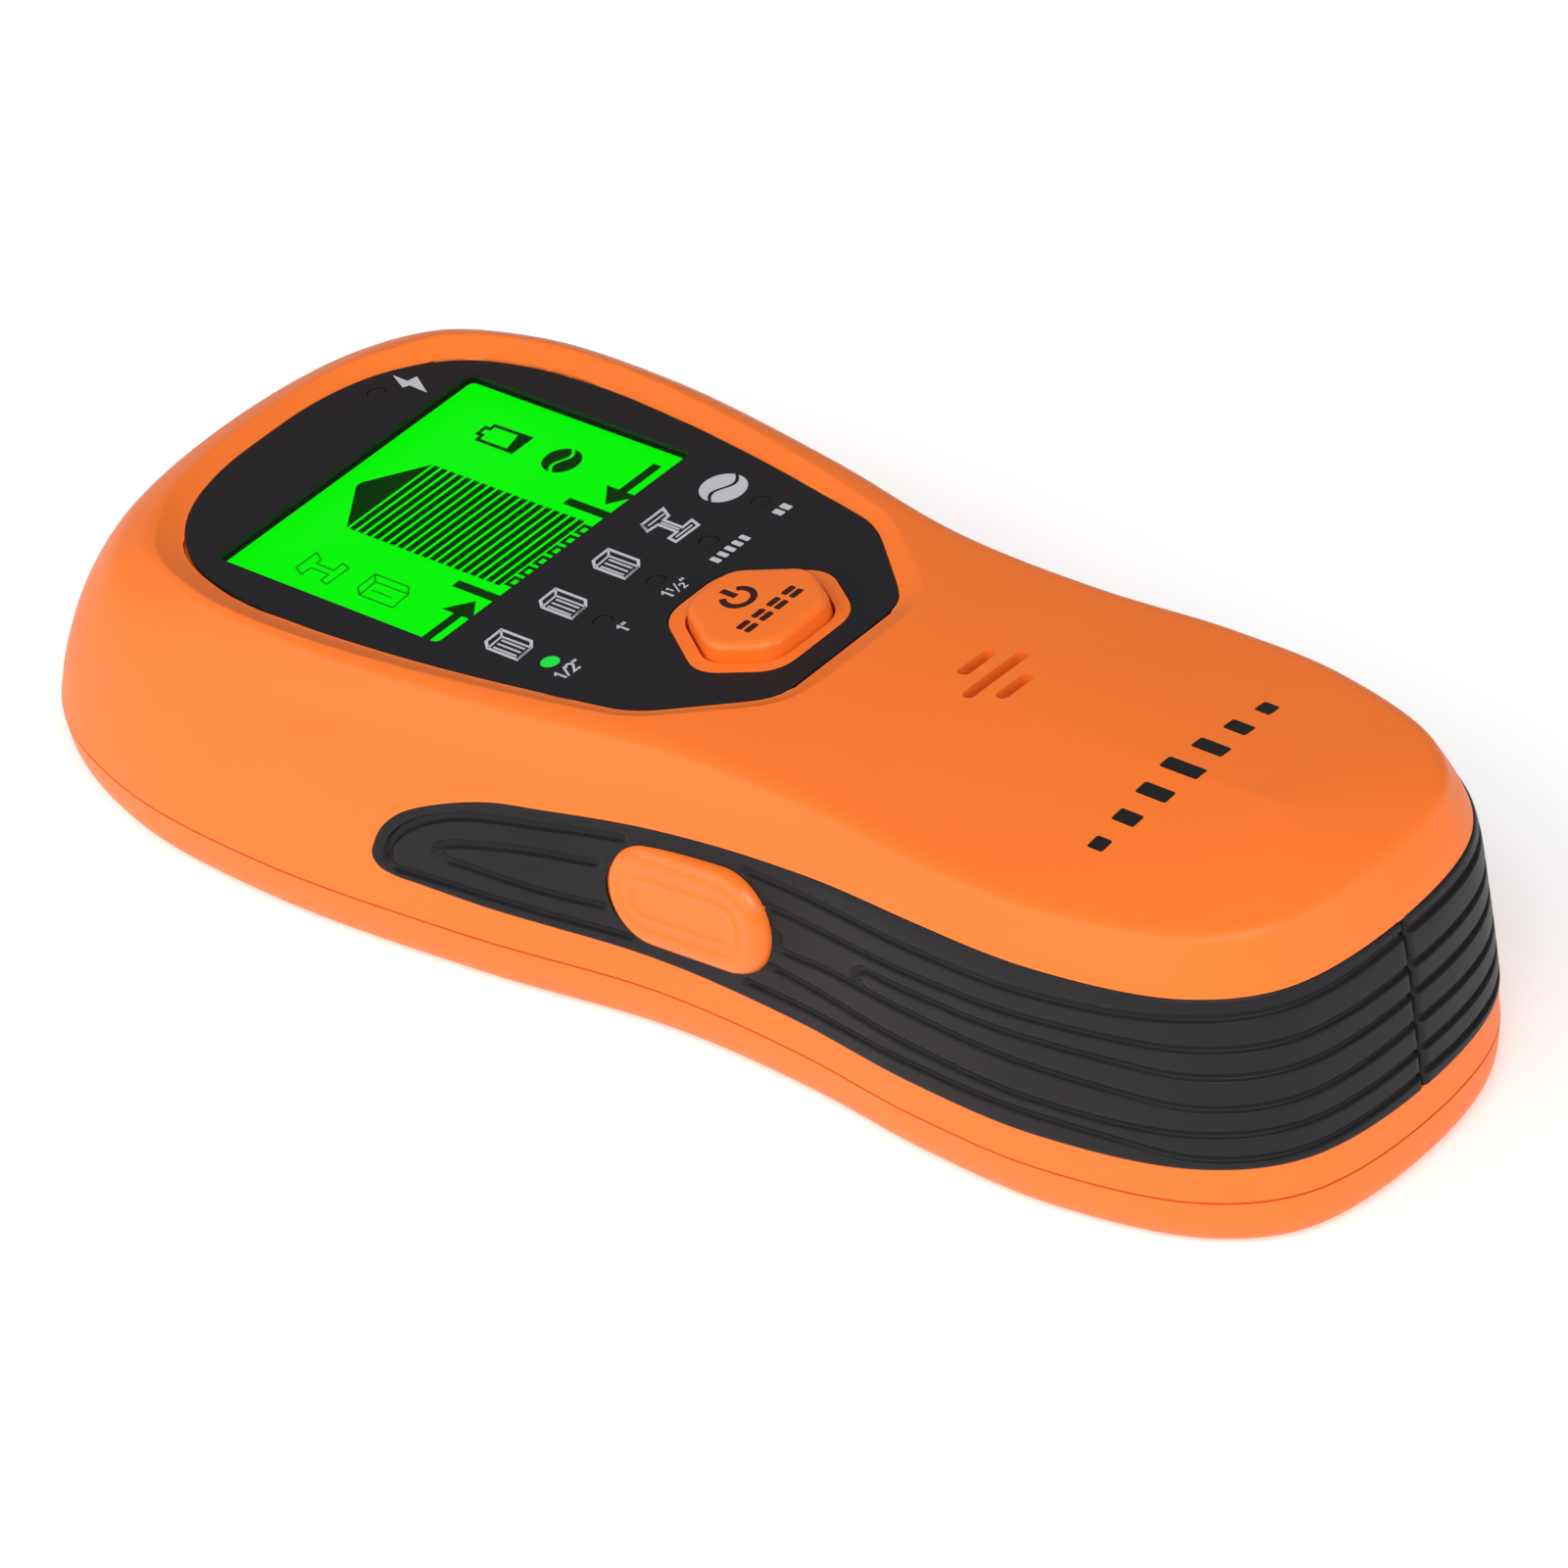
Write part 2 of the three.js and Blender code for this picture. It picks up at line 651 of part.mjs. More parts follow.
function screw(x, y, { head, shaft }, headLow, headTop, tip) {
  const sunk = new THREE.CylinderGeometry(0.9, 0.9, 0.8, 6);
  const recess = solid(sunk.rotateX(Math.PI / 2).translate(x, y, headLow + 0.3));
  const body = upright(x, y, head, headLow, headTop, 16).add(upright(x, y, shaft, headTop - 0.5, tip, 12));
  return body.subtract(recess);
}

// ---------------------------------------------------------------- the assembly

const studFinder = new THREE.Group();
studFinder.add(deck, sideFrame);

add(studFinder, "front_housing", frontHousing(), ORANGE);
add(studFinder, "rear_cover", rearCover(), ORANGE);
add(studFinder, "grip_left", grip(-1), RUBBER);
add(studFinder, "grip_right", grip(1), RUBBER);

const panelTools = [
  prism(windowShape(0), PANEL_BOTTOM - 1, 1),
  prism(hexagon(1), PANEL_BOTTOM - 1, 1),
  ...lightPlaces.map(([x, y]) => upright(x, y, LED_RADIUS + 0.15, PANEL_BOTTOM - 1, 1, 12)),
];
add(deck, "display_panel", cut(prism(panelShape(), PANEL_BOTTOM, PANEL_TOP, 4), panelTools), BLACK_SATIN);
add(deck, "display_window", prism(windowShape(-FIT), PANEL_BOTTOM, PANEL_BOTTOM + WINDOW_THICK), CLEAR);

const glassLow = POCKET_FLOOR - LCD_GLASS_THICK;
add(deck, "lcd_glass", prism(windowShape(0.7), glassLow, POCKET_FLOOR), DISPLAY);
const lcdUnder = glassLow - FIT;
const backlight = box(-18.5, 18.5, 28.2, 55.2, -8.4, lcdUnder);
add(deck, "backlight", backlight, WHITE);
add(deck, "contact_strip", box(-17, 17, 25.8, 27.4, BOARD_TOP + FIT, lcdUnder), BLACK);
const frameRing = prism(windowShape(3), BOARD_TOP + FIT, DECK_UNDER - FIT).subtract(
  prism(windowShape(1), BOARD_TOP - 1, 0),
);
add(deck, "lcd_frame", frameRing, BLACK);

const boardOutline = [
  [-21.5, 7],
  [-17.5, 3],
  [-17.5, -14],
  [17.5, -14],
  [17.5, 3],
  [21.5, 7],
  [21.5, 58],
  [17, 66],
  [-17, 66],
  [-21.5, 58],
];
const boardHoles = BOARD_SCREWS.map(([x, y]) =>
  upright(x, y, BOARD_SCREW.shaft + FIT, BOARD_UNDER - 1, BOARD_TOP + 1, 12),
);
const mainBoard = cut(prism(roundedPolygon(boardOutline, 1), BOARD_UNDER, BOARD_TOP), boardHoles);
add(deck, "main_board", mainBoard, BOARD_GREEN);

lightPlaces.forEach(([x, y], i) => {
  const number = i + 1;
  const chip = box(x - 1, x + 1, y - 0.7, y + 0.7, BOARD_TOP + FIT, BOARD_TOP + 1.1);
  add(deck, "led_" + number, chip, WHITE);
  const pipe = upright(x, y, LED_RADIUS, BOARD_TOP + 1.4, PANEL_TOP - 0.05, 12);
  add(deck, "light_pipe_" + number, pipe, CLEAR);
});

add(deck, "mode_button", modeButton(), ORANGE);
const modePlungerTop = MODE_STEM_END - FIT;
const modeSwitch = switchBody(modePlungerTop - 1, BOARD_TOP + FIT).translate([0, MODE_CENTRE, 0]);
add(deck, "mode_switch", modeSwitch, BLACK);
add(
  deck,
  "mode_switch_plunger",
  upright(0, MODE_CENTRE, 1.6, BOARD_TOP + 1.1 + MODE_TRAVEL, modePlungerTop, 16),
  BLACK,
);

add(sideFrame, "side_button", sideButton(), ORANGE);
add(sideFrame, "side_switch", switchBody(-7.4, -10.9), BLACK);
add(sideFrame, "side_switch_plunger", upright(0, 0, 1.6, -9, -6.3, 16), BLACK);

const partsUnder = BOARD_UNDER - FIT;
add(deck, "microcontroller", box(-6, 6, 34, 46, partsUnder - 1.4, partsUnder), BLACK);
add(deck, "crystal", box(9, 13, 30, 40, partsUnder - 3.2, partsUnder), STEEL);
add(deck, "capacitor_1", upright(-13, 22, 3, partsUnder - 6, partsUnder, 16), BLACK);
add(deck, "capacitor_2", upright(-13, 31, 3, partsUnder - 6, partsUnder, 16), BLACK);
BOARD_SCREWS.forEach(([x, y], i) => {
  const { headThick, length } = BOARD_SCREW;
  const low = partsUnder - headThick;
  add(deck, "board_screw_" + (i + 1), screw(x, y, BOARD_SCREW, low, partsUnder, partsUnder + length), STEEL);
});

const buzzerBody = upright(SPEAKER.x, SPEAKER.y, BUZZER.radius, BUZZER.bottom, BUZZER.top, 24);
const soundHole = upright(SPEAKER.x, SPEAKER.y, 1, BUZZER.top - 2, BUZZER.top + 1, 10);
add(deck, "buzzer", buzzerBody.subtract(soundHole), BLACK);

const SENSOR_LOW = 3;
add(studFinder, "sensor_board", box(-21.5, 21.5, -8, 66, SENSOR_LOW, SENSOR_LOW + 1.6), BOARD_GREEN);
add(studFinder, "board_link", box(-9, 9, 7, 9.4, SENSOR_LOW + 1.9, 18.2), BLACK);

add(studFinder, "battery", batteryShape(), BATTERY_CASE);
const batteryMid = BATTERY.low + BATTERY.thick / 2;
const snapTail = BATTERY.tail + BATTERY.overall + FIT;
const snap = box(-12.5, 12.5, snapTail, snapTail + 3, batteryMid - 5.5, batteryMid + 5.5);
add(studFinder, "battery_snap", snap, BLACK);
const leadStart = snapTail + 3 + FIT;
const lead = (x) => [
  [x, leadStart, batteryMid - 1],
  [x, leadStart + 3, batteryMid - 1],
  [x * 1.1, leadStart + 5.4, batteryMid + 1],
  [x * 1.2, leadStart + 7, batteryMid + 3.6],
  [x * 1.2, leadStart + 7.4, 19.6],
];
add(studFinder, "battery_lead_red", wire(lead(2.5), 0.7), RED);
add(studFinder, "battery_lead_black", wire(lead(-2.5), 0.7), BLACK);
const buzzerLead = (x) => [
  [x, -23.2, 26.6],
  [x, -20, 26.4],
  [x, -17, 25],
  [x, -13.5, 24.6],
  [x, -11.5, 23.3],
];
add(studFinder, "buzzer_lead_red", wire(buzzerLead(4.2), 0.5), RED);
add(studFinder, "buzzer_lead_black", wire(buzzerLead(1.8), 0.5), BLACK);

add(studFinder, "battery_door", batteryDoor(), ORANGE);
add(studFinder, "battery_pad", box(-11, 11, -66, -32, DOOR.thick + FIT, BATTERY.low - FIT), FOAM);
CASE_SCREWS.forEach(([x, y], i) => {
  add(studFinder, "case_screw_" + (i + 1), screw(x, y, CASE_SCREW, 1, CASE_SCREW.headTop, CASE_SCREW.tip), STEEL);
});

export default studFinder;
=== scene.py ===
# Looks of a handheld stud finder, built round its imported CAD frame.
# Lengths are millimetres until a mesh is made, +Z up out of the display, +Y towards the head.
import math

import bmesh
import bpy
import numpy as np
from mathutils import Matrix, Vector, kdtree
from mathutils.bvhtree import BVHTree
from mathutils.interpolate import poly_3d_calc


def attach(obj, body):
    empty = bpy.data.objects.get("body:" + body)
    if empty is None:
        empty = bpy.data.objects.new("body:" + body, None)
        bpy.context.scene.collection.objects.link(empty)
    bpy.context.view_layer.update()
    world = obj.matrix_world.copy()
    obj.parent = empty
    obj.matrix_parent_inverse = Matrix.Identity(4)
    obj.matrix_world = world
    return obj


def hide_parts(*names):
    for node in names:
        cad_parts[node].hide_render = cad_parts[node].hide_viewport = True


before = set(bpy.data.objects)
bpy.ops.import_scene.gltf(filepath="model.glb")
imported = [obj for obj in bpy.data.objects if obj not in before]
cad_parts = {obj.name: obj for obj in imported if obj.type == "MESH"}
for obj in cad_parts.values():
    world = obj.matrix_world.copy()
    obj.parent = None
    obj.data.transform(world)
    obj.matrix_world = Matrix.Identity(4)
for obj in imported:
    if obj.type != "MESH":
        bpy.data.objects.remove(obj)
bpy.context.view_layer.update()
MM = 0.001

# ---- dimensions shared with the CAD

LENGTH = 165
FIT = 0.3
HALF_OUTLINE = [
    (0, 82.5), (18.5, 79.6), (29.6, 71.8), (35.2, 57.8), (35.9, 38), (32.4, 12.4), (27.9, -9),
    (26.9, -26), (27.4, -42), (26.3, -57), (21.3, -72.6), (14, -80), (0, -82.5),
]
# Skin levels: height at head, height at handle end, inset at head, inset at handle end.
SKIN_BOTTOM = (0, 0, 3.3, 3.3)
SKIN_BOTTOM_EDGE = (0.8, 0.8, 1.5, 1.5)
SKIN_BOTTOM_SIDE = (2.9, 2.9, 0.5, 0.5)
SKIN_PARTING = (6.6, 6.6, 0, 0)
SKIN_LIP = (10.5, 10.5, 1, 0)
SKIN_BELLY = (17.5, 21, 4, 0.3)
SKIN_SHOULDER = (22.8, 30.8, 8, 1)
SKIN_CREASE = (25, 36.8, 11.8, 3.2)
CROWN_RISE = 1.4
CREASE_ROUND = 1.5
PARTING_Z = 6.6

DECK_SLOPE = 0.0925
DECK_TILT = math.atan(DECK_SLOPE)
DECK_Z = 31.28
PANEL_TOP = -0.6
PANEL_BOTTOM = -1.1
POCKET_FLOOR = -1.4
COLLAR_TOP = -0.65
DECK_UNDER = -3.8
BOARD_TOP = -10
WINDOW = {"width": 37.4, "height": 31.3, "centre": 41.35}
LED_PITCH = 7.75
LED_ROW = 13.2
LED_RADIUS = 1
WARNING_LED = (11.2, 63.3)
LCD_TOP = -1.8
MODE_CENTRE = -1.2
MODE_OPENING = {"side": 10.1, "flat_up": 4.4, "flat_down": 5.7, "up": 9.5, "down": 7.5, "round": 2.6}
MODE_CAP_SCALE = 0.8
MODE_HOLE_SCALE = 0.818
MODE_COLLAR_SCALE = 0.985
MODE_FLANGE_SCALE = 0.95
MODE_PROUD = 1.25
SPEAKER = {"x": 3, "y": -29.5, "pitch": 3, "shift": 0.6, "long": 9, "short": 4.8, "wide": 1.5}

SIDE_BUTTON = {"length": 21.4, "width": 11.4, "proud": 1.7}
SIDE_PLACE = (-25.65, -13.2, 17.7)
SIDE_TILT = math.radians(9)
SIDE_RISE = math.radians(7.5)
SIDE_ROUND = 1.9
FLANGE_TOP = -4.2
LIP_GAP = 0.06
LIP_TURN = 1.05

GRIP_THICK = 1.2
GRIP_PROUD = 0.25
GRIP_UPPER_EDGE = [
    (23.5, 12.9), (22.6, 15.4), (20.6, 17.6), (17.2, 19.5), (10.5, 21.9), (3.8, 22.9), (-9.9, 24.7),
    (-24.9, 26.8), (-38.1, 28.5), (-50.6, 29.4), (-71.1, 30.4), (-90, 31.4),
]
GRIP_LOWER_EDGE = [(23.5, 12.9), (23.2, 11.8), (22.5, 11.1), (21, 10.7), (18, 10.6), (-90, 10.6)]

DOOR = {"half": 14.6, "tail": -73.2, "head": -20.2, "thick": 1.8}
CASE_SCREWS = [(25.5, 60), (-25.5, 60), (20.3, -34), (-20.3, -34)]

# ---- curves in numbers


def segment(p0, p1, p2, p3, w, power):
    """Places and directions on a Catmull-Rom span from p1 to p2, with knots spaced by distance ** power."""
    gaps = [np.linalg.norm(b - a, axis=-1, keepdims=True) ** power for a, b in ((p0, p1), (p1, p2), (p2, p3))]
    d0, d1, d2 = [np.where(g < 1e-6, np.where(gaps[1] < 1e-6, 1, gaps[1]), g) for g in gaps]
    t1 = ((p1 - p0) / d0 - (p2 - p0) / (d0 + d1) + (p2 - p1) / d1) * d1
    t2 = ((p2 - p1) / d1 - (p3 - p1) / (d1 + d2) + (p3 - p2) / d2) * d1
    c2 = -3 * p1 + 3 * p2 - 2 * t1 - t2
    c3 = 2 * p1 - 2 * p2 + t1 + t2
    return p1 + t1 * w + c2 * w**2 + c3 * w**3, t1 + 2 * c2 * w + 3 * c3 * w**2


def closed_curve(points, count):
    p = np.array(points, float)
    n = len(p)
    t = np.arange(count) / count * n
    i = np.floor(t).astype(int)
    spans = [p[(i + k) % n] for k in (-1, 0, 1, 2)]
    place, along = segment(*spans, (t - i)[:, None], 0.5)
    return place, along / np.linalg.norm(along, axis=1, keepdims=True)


def open_curve(points, per, power=0.5):
    """A smooth line through points, with per steps in each span."""
    p = np.array(points, float)
    padded = np.vstack([2 * p[0] - p[1], p, 2 * p[-1] - p[-2]])
    w = np.linspace(0, 1, per, endpoint=False)[:, None]
    parts = []
    for k in range(1, len(p)):
        spans = [np.repeat(padded[k + j - 1][None], per, 0) for j in range(4)]
        parts.append(segment(*spans, w, power)[0])
    return np.vstack(parts + [p[-1:]])


def mirrored(points):
    return [(-x, y) for x, y in reversed(list(points))]


def rounded_polygon(points, radius, steps=8):
    out = []
    n = len(points)
    for i, corner in enumerate(points):
        corner = np.array(corner, float)
        before = np.array(points[i - 1], float) - corner
        after = np.array(points[(i + 1) % n], float) - corner
        start = corner + before / np.linalg.norm(before) * radius
        end = corner + after / np.linalg.norm(after) * radius
        for u in np.linspace(0, 1, steps + 1):
            out.append((1 - u) ** 2 * start + 2 * u * (1 - u) * corner + u * u * end)
    return np.array(out)


def rounded_rectangle(width, height, radius, cx=0, cy=0, steps=6):
    w, h = width / 2, height / 2
    corners = [(cx - w, cy - h), (cx + w, cy - h), (cx + w, cy + h), (cx - w, cy + h)]
    return rounded_polygon(corners, radius, steps)


def stadium(length, width, steps=24):
    reach, r = (length - width) / 2, width / 2
    a = np.linspace(-math.pi / 2, math.pi / 2, steps + 1)
    right = np.stack([reach + r * np.cos(a), r * np.sin(a)], 1)
    left = np.stack([-reach - r * np.cos(a), -r * np.sin(a)], 1)
    return np.vstack([right, left])


def side_round(turn):
    """Inset and height up the side button's wall and round its edge, as far as an angle."""
    base, r = SIDE_BUTTON["proud"] - SIDE_ROUND, SIDE_ROUND
    return [(r * (1 - math.cos(a)), base + r * math.sin(a)) for a in np.linspace(0, turn, 9)]


def circle(x, y, radius, sides=40):
    a = np.arange(sides) / sides * 2 * math.pi
    return np.stack([x + radius * np.cos(a), y + radius * np.sin(a)], 1)


def offset_loop(loop, distance):
    """The loop moved outwards, where it runs anticlockwise."""
    loop = np.array(loop, float)
    ahead = np.roll(loop, -1, 0) - loop
    ahead /= np.maximum(np.linalg.norm(ahead, axis=1, keepdims=True), 1e-9)
    behind = np.roll(ahead, 1, 0)
    normal = np.stack([ahead[:, 1], -ahead[:, 0]], 1) + np.stack([behind[:, 1], -behind[:, 0]], 1)
    size = np.linalg.norm(normal, axis=1, keepdims=True)
    reach = np.minimum(2 / np.maximum(size, 1e-6), 1.5)
    return loop + normal / np.maximum(size, 1e-6) * distance * reach


# ---- meshes


def mesh_object(name, vertices, faces, matrix=None, weld=1e-6):
    mesh = bpy.data.meshes.new(name)
    mesh.from_pydata((np.asarray(vertices, float) * MM).tolist(), [], [list(map(int, f)) for f in faces])
    work = bmesh.new()
    work.from_mesh(mesh)
    bmesh.ops.remove_doubles(work, verts=work.verts, dist=weld)
    bmesh.ops.dissolve_degenerate(work, edges=work.edges, dist=1e-8)
    bmesh.ops.recalc_face_normals(work, faces=work.faces)
    if matrix is not None:
        bmesh.ops.transform(work, matrix=matrix, verts=work.verts)
    work.to_mesh(mesh)
    work.free()
    obj = bpy.data.objects.new(name, mesh)
    bpy.context.scene.collection.objects.link(obj)
    return obj


def baked(obj):
    """Applies the object's modifiers to its mesh."""
    bpy.context.view_layer.update()
    graph = bpy.context.evaluated_depsgraph_get()
    mesh = bpy.data.meshes.new_from_object(obj.evaluated_get(graph), depsgraph=graph)
    obj.modifiers.clear()
    obj.data = mesh
    return obj


def boolean(obj, tool, operation):
    """Combines obj with tool and removes tool, by the exact solver where the quick one changes nothing."""
    before = obj.data
    for solver in ("MANIFOLD", "EXACT"):
        modifier = obj.modifiers.new("boolean", "BOOLEAN")
        modifier.operation = operation
        modifier.object = tool
        modifier.solver = solver
        baked(obj)
        if len(obj.data.polygons) not in (0, len(before.polygons)):
            break
        obj.data = before
    bpy.data.objects.remove(tool)
    return obj


def cut(obj, *tools):
    for tool in tools:
        boolean(obj, tool, "DIFFERENCE")
    return obj


def join(obj, *tools):
    for tool in tools:
        boolean(obj, tool, "UNION")
    return obj


def lofted(name, rings, matrix=None, centre_line=False):
    """A closed surface through rings of as many points each. With centre_line the last closes on itself."""
    n = len(rings[0])
    faces = []
    for k in range(len(rings) - 1):
        for i in range(n):
            j = (i + 1) % n
            faces.append((k * n + i, k * n + j, (k + 1) * n + j, (k + 1) * n + i))
    faces.append(tuple(range(n - 1, -1, -1)))
    if not centre_line:
        faces.append(tuple((len(rings) - 1) * n + i for i in range(n)))
    return mesh_object(name, np.vstack(rings), faces, matrix)


def level_ring(loop, z):
    loop = np.asarray(loop, float)
    return np.column_stack([loop[:, 0], loop[:, 1], np.full(len(loop), float(z))])


def prism(name, loop, z0, z1, matrix=None):
    return lofted(name, [level_ring(loop, z0), level_ring(loop, z1)], matrix)


def rounded_edges(obj, width):
    modifier = obj.modifiers.new("edges", "BEVEL")
    modifier.width = width * MM
    modifier.segments = 2
    modifier.limit_method = "ANGLE"
    modifier.angle_limit = math.radians(35)
    modifier.harden_normals = False
    return baked(obj)


def shade(obj, angle=32):
    mesh = obj.data
    mesh.polygons.foreach_set("use_smooth", [True] * len(mesh.polygons))
    mesh.set_sharp_from_angle(angle=math.radians(angle))
    return obj


def weighted_normals(obj):
    """Lets large faces set the shading along an edge that a cut has left full of slivers."""
    modifier = obj.modifiers.new("normals", "WEIGHTED_NORMAL")
    modifier.keep_sharp = True
    return baked(obj)


def shaded_like(obj, skin, reach=0.03):
    """Gives faces that lie on the uncut skin its normals, so that slivers left by cuts don't show."""
    shade(skin, 30)
    mesh, smooth = obj.data, skin.data
    corners = [v.co for v in smooth.vertices]
    sides = [face for face in smooth.polygons if len(face.vertices) < 5]
    tree = BVHTree.FromPolygons(corners, [list(face.vertices) for face in sides])
    skin_normals = [n.vector.copy() for n in smooth.corner_normals]
    normals = [n.vector.copy() for n in mesh.corner_normals]
    for face in mesh.polygons:
        if tree.find_nearest(face.center)[3] > reach * MM:
            continue
        for loop in face.loop_indices:
            place, _, index, _ = tree.find_nearest(mesh.vertices[mesh.loops[loop].vertex_index].co)
            near = sides[index]
            weights = poly_3d_calc([corners[v] for v in near.vertices], place)
            normals[loop] = sum((skin_normals[k] * w for k, w in zip(near.loop_indices, weights)), Vector())
    mesh.normals_split_custom_set(normals)
    bpy.data.objects.remove(skin)
    return obj


def joined_objects(name, objects):
    work = bmesh.new()
    for obj in objects:
        work.from_mesh(obj.data)
        bpy.data.objects.remove(obj)
    mesh = bpy.data.meshes.new(name)
    work.to_mesh(mesh)
    work.free()
    out = bpy.data.objects.new(name, mesh)
    bpy.context.scene.collection.objects.link(out)
    return out


DECK = Matrix.Translation((0, 0, DECK_Z * MM)) @ Matrix.Rotation(-DECK_TILT, 4, "X")
OUTWARD = Vector((-math.cos(SIDE_TILT), 0, math.sin(SIDE_TILT)))
TAILWARD = Vector((0, -1, 0))
SIDE = Matrix.Translation(Vector(SIDE_PLACE) * MM) @ Matrix(
    (TAILWARD, OUTWARD.cross(TAILWARD), OUTWARD)
).transposed().to_4x4() @ Matrix.Rotation(SIDE_RISE, 4, "Z")

# ---- materials


def new_material(name):
    material = bpy.data.materials.new(name)
    material.use_nodes = True
    tree = material.node_tree
    shader = tree.nodes["Principled BSDF"]
    return material, tree, shader


def node(tree, kind, **inputs):
    made = tree.nodes.new(kind)
    for key, value in inputs.items():
        made.inputs[key.replace("_", " ")].default_value = value
    return made


def object_coordinates(tree):
    return tree.nodes.new("ShaderNodeTexCoord").outputs["Object"]


def noise(tree, scale, detail=3.0, rough=0.5):
    made = node(tree, "ShaderNodeTexNoise", Scale=scale, Detail=detail, Roughness=rough)
    tree.links.new(object_coordinates(tree), made.inputs["Vector"])
    return made.outputs["Fac"]


def ramp(tree, factor, low, high):
    made = tree.nodes.new("ShaderNodeMapRange")
    made.inputs["To Min"].default_value = low
    made.inputs["To Max"].default_value = high
    tree.links.new(factor, made.inputs["Value"])
    return made.outputs["Result"]


def colour_mix(tree, factor, first, second):
    made = tree.nodes.new("ShaderNodeMix")
    made.data_type = "RGBA"
    for socket, value in ((made.inputs["A"], first), (made.inputs["B"], second)):
        if isinstance(value, tuple):
            socket.default_value = (*value, 1)
        else:
            tree.links.new(value, socket)
    tree.links.new(factor, made.inputs["Factor"])
    return made.outputs["Result"]


def bevel_normal(tree, width):
    bevel = tree.nodes.new("ShaderNodeBevel")
    bevel.samples = 4
    bevel.inputs["Radius"].default_value = width * MM
    return bevel.outputs["Normal"]


def edge_mask(tree, width):
    """One along edges: from the mesh's own sharpness, or within width of any edge where width is given."""
    geometry = tree.nodes.new("ShaderNodeNewGeometry")
    mask = tree.nodes.new("ShaderNodeMapRange")
    if width:
        turned = tree.nodes.new("ShaderNodeVectorMath")
        turned.operation = "DOT_PRODUCT"
        tree.links.new(bevel_normal(tree, width), turned.inputs[0])
        tree.links.new(geometry.outputs["Normal"], turned.inputs[1])
        start, end, sharpness = 0.98, 0.86, turned.outputs["Value"]
    else:
        start, end, sharpness = 0.54, 0.68, geometry.outputs["Pointiness"]
    mask.inputs["From Min"].default_value = start
    mask.inputs["From Max"].default_value = end
    tree.links.new(sharpness, mask.inputs["Value"])
    return mask


def moulded(name, colour, shade_colour, roughness, grain, bump=0.15, edge=None, edge_width=0.0, soft_edge=0.0,
            metallic=0.0, specular=0.5):
    """A moulded or coated surface: mottled colour, uneven gloss, fine grain and lighter worn edges."""
    material, tree, shader = new_material(name)
    base = colour_mix(tree, noise(tree, 60, 4), colour, shade_colour)
    if edge:
        mask = edge_mask(tree, edge_width)
        broken = tree.nodes.new("ShaderNodeMath")
        broken.operation = "MULTIPLY"
        tree.links.new(mask.outputs["Result"], broken.inputs[0])
        tree.links.new(ramp(tree, noise(tree, 900, 2), 0.1, 0.7), broken.inputs[1])
        base = colour_mix(tree, broken.outputs["Value"], base, edge)
    tree.links.new(base, shader.inputs["Base Color"])
    tree.links.new(ramp(tree, noise(tree, 220, 5), roughness[0], roughness[1]), shader.inputs["Roughness"])
    shader.inputs["Metallic"].default_value = metallic
    shader.inputs["Specular IOR Level"].default_value = specular
    bumps = node(tree, "ShaderNodeBump", Strength=bump, Distance=0.00006)
    tree.links.new(noise(tree, grain, 2, 0.6), bumps.inputs["Height"])
    if soft_edge:
        tree.links.new(bevel_normal(tree, soft_edge), bumps.inputs["Normal"])
    tree.links.new(bumps.outputs["Normal"], shader.inputs["Normal"])
    return material


def glowing(name, colour, strength, edge_colour):
    """A lit surface with a slightly uneven glow."""
    material, tree, shader = new_material(name)
    glow = colour_mix(tree, ramp(tree, noise(tree, 25, 2), 0, 1), colour, edge_colour)
    tree.links.new(glow, shader.inputs["Emission Color"])
    shader.inputs["Emission Strength"].default_value = strength
    shader.inputs["Base Color"].default_value = (0.0, 0.01, 0.0, 1)
    shader.inputs["Specular IOR Level"].default_value = 0.04
    tree.links.new(ramp(tree, noise(tree, 300, 3), 0.3, 0.4), shader.inputs["Roughness"])
    return material


def clear(name, tint, alpha):
    """A clear plastic, nearly all seen through."""
    material, tree, shader = new_material(name)
    shader.inputs["Base Color"].default_value = (*tint, 1)
    shader.inputs["Alpha"].default_value = alpha
    shader.inputs["Specular IOR Level"].default_value = 0.3
    tree.links.new(ramp(tree, noise(tree, 200, 4), 0.03, 0.09), shader.inputs["Roughness"])
    return material


ORANGE = moulded("orange_housing", (0.95, 0.193, 0.024), (0.92, 0.184, 0.021), (0.42, 0.52), 5200,
                 bump=0.08, edge=(0.98, 0.30, 0.09), edge_width=0.15, specular=0.3)
ORANGE_SMOOTH = moulded("orange_button", (0.97, 0.190, 0.018), (0.94, 0.180, 0.016), (0.27, 0.35), 4200,
                        bump=0.05, edge=(0.98, 0.27, 0.06), specular=0.4)
RUBBER = moulded("grip_rubber", (0.01, 0.0085, 0.0098), (0.0135, 0.0118, 0.0132), (0.40, 0.54), 6500,
                 bump=0.35, edge=(0.065, 0.065, 0.068), specular=0.2)
PANEL = moulded("panel_black", (0.012, 0.0108, 0.0128), (0.014, 0.0126, 0.0148), (0.38, 0.46), 7500,
                bump=0.08, soft_edge=0.08, specular=0.18)
MASK_BLACK = moulded("mask_black", (0.0022, 0.002, 0.002), (0.0034, 0.003, 0.003), (0.7, 0.8), 5000,
                     bump=0.1, specular=0.1)
PRINT_GREY = moulded("print_grey", (0.56, 0.57, 0.61), (0.50, 0.51, 0.55), (0.45, 0.6), 5000, bump=0.08)
PRINT_BLACK = moulded("print_black", (0.0085, 0.007, 0.007), (0.011, 0.009, 0.009), (0.45, 0.55), 5000,
                      bump=0.08, specular=0.25)
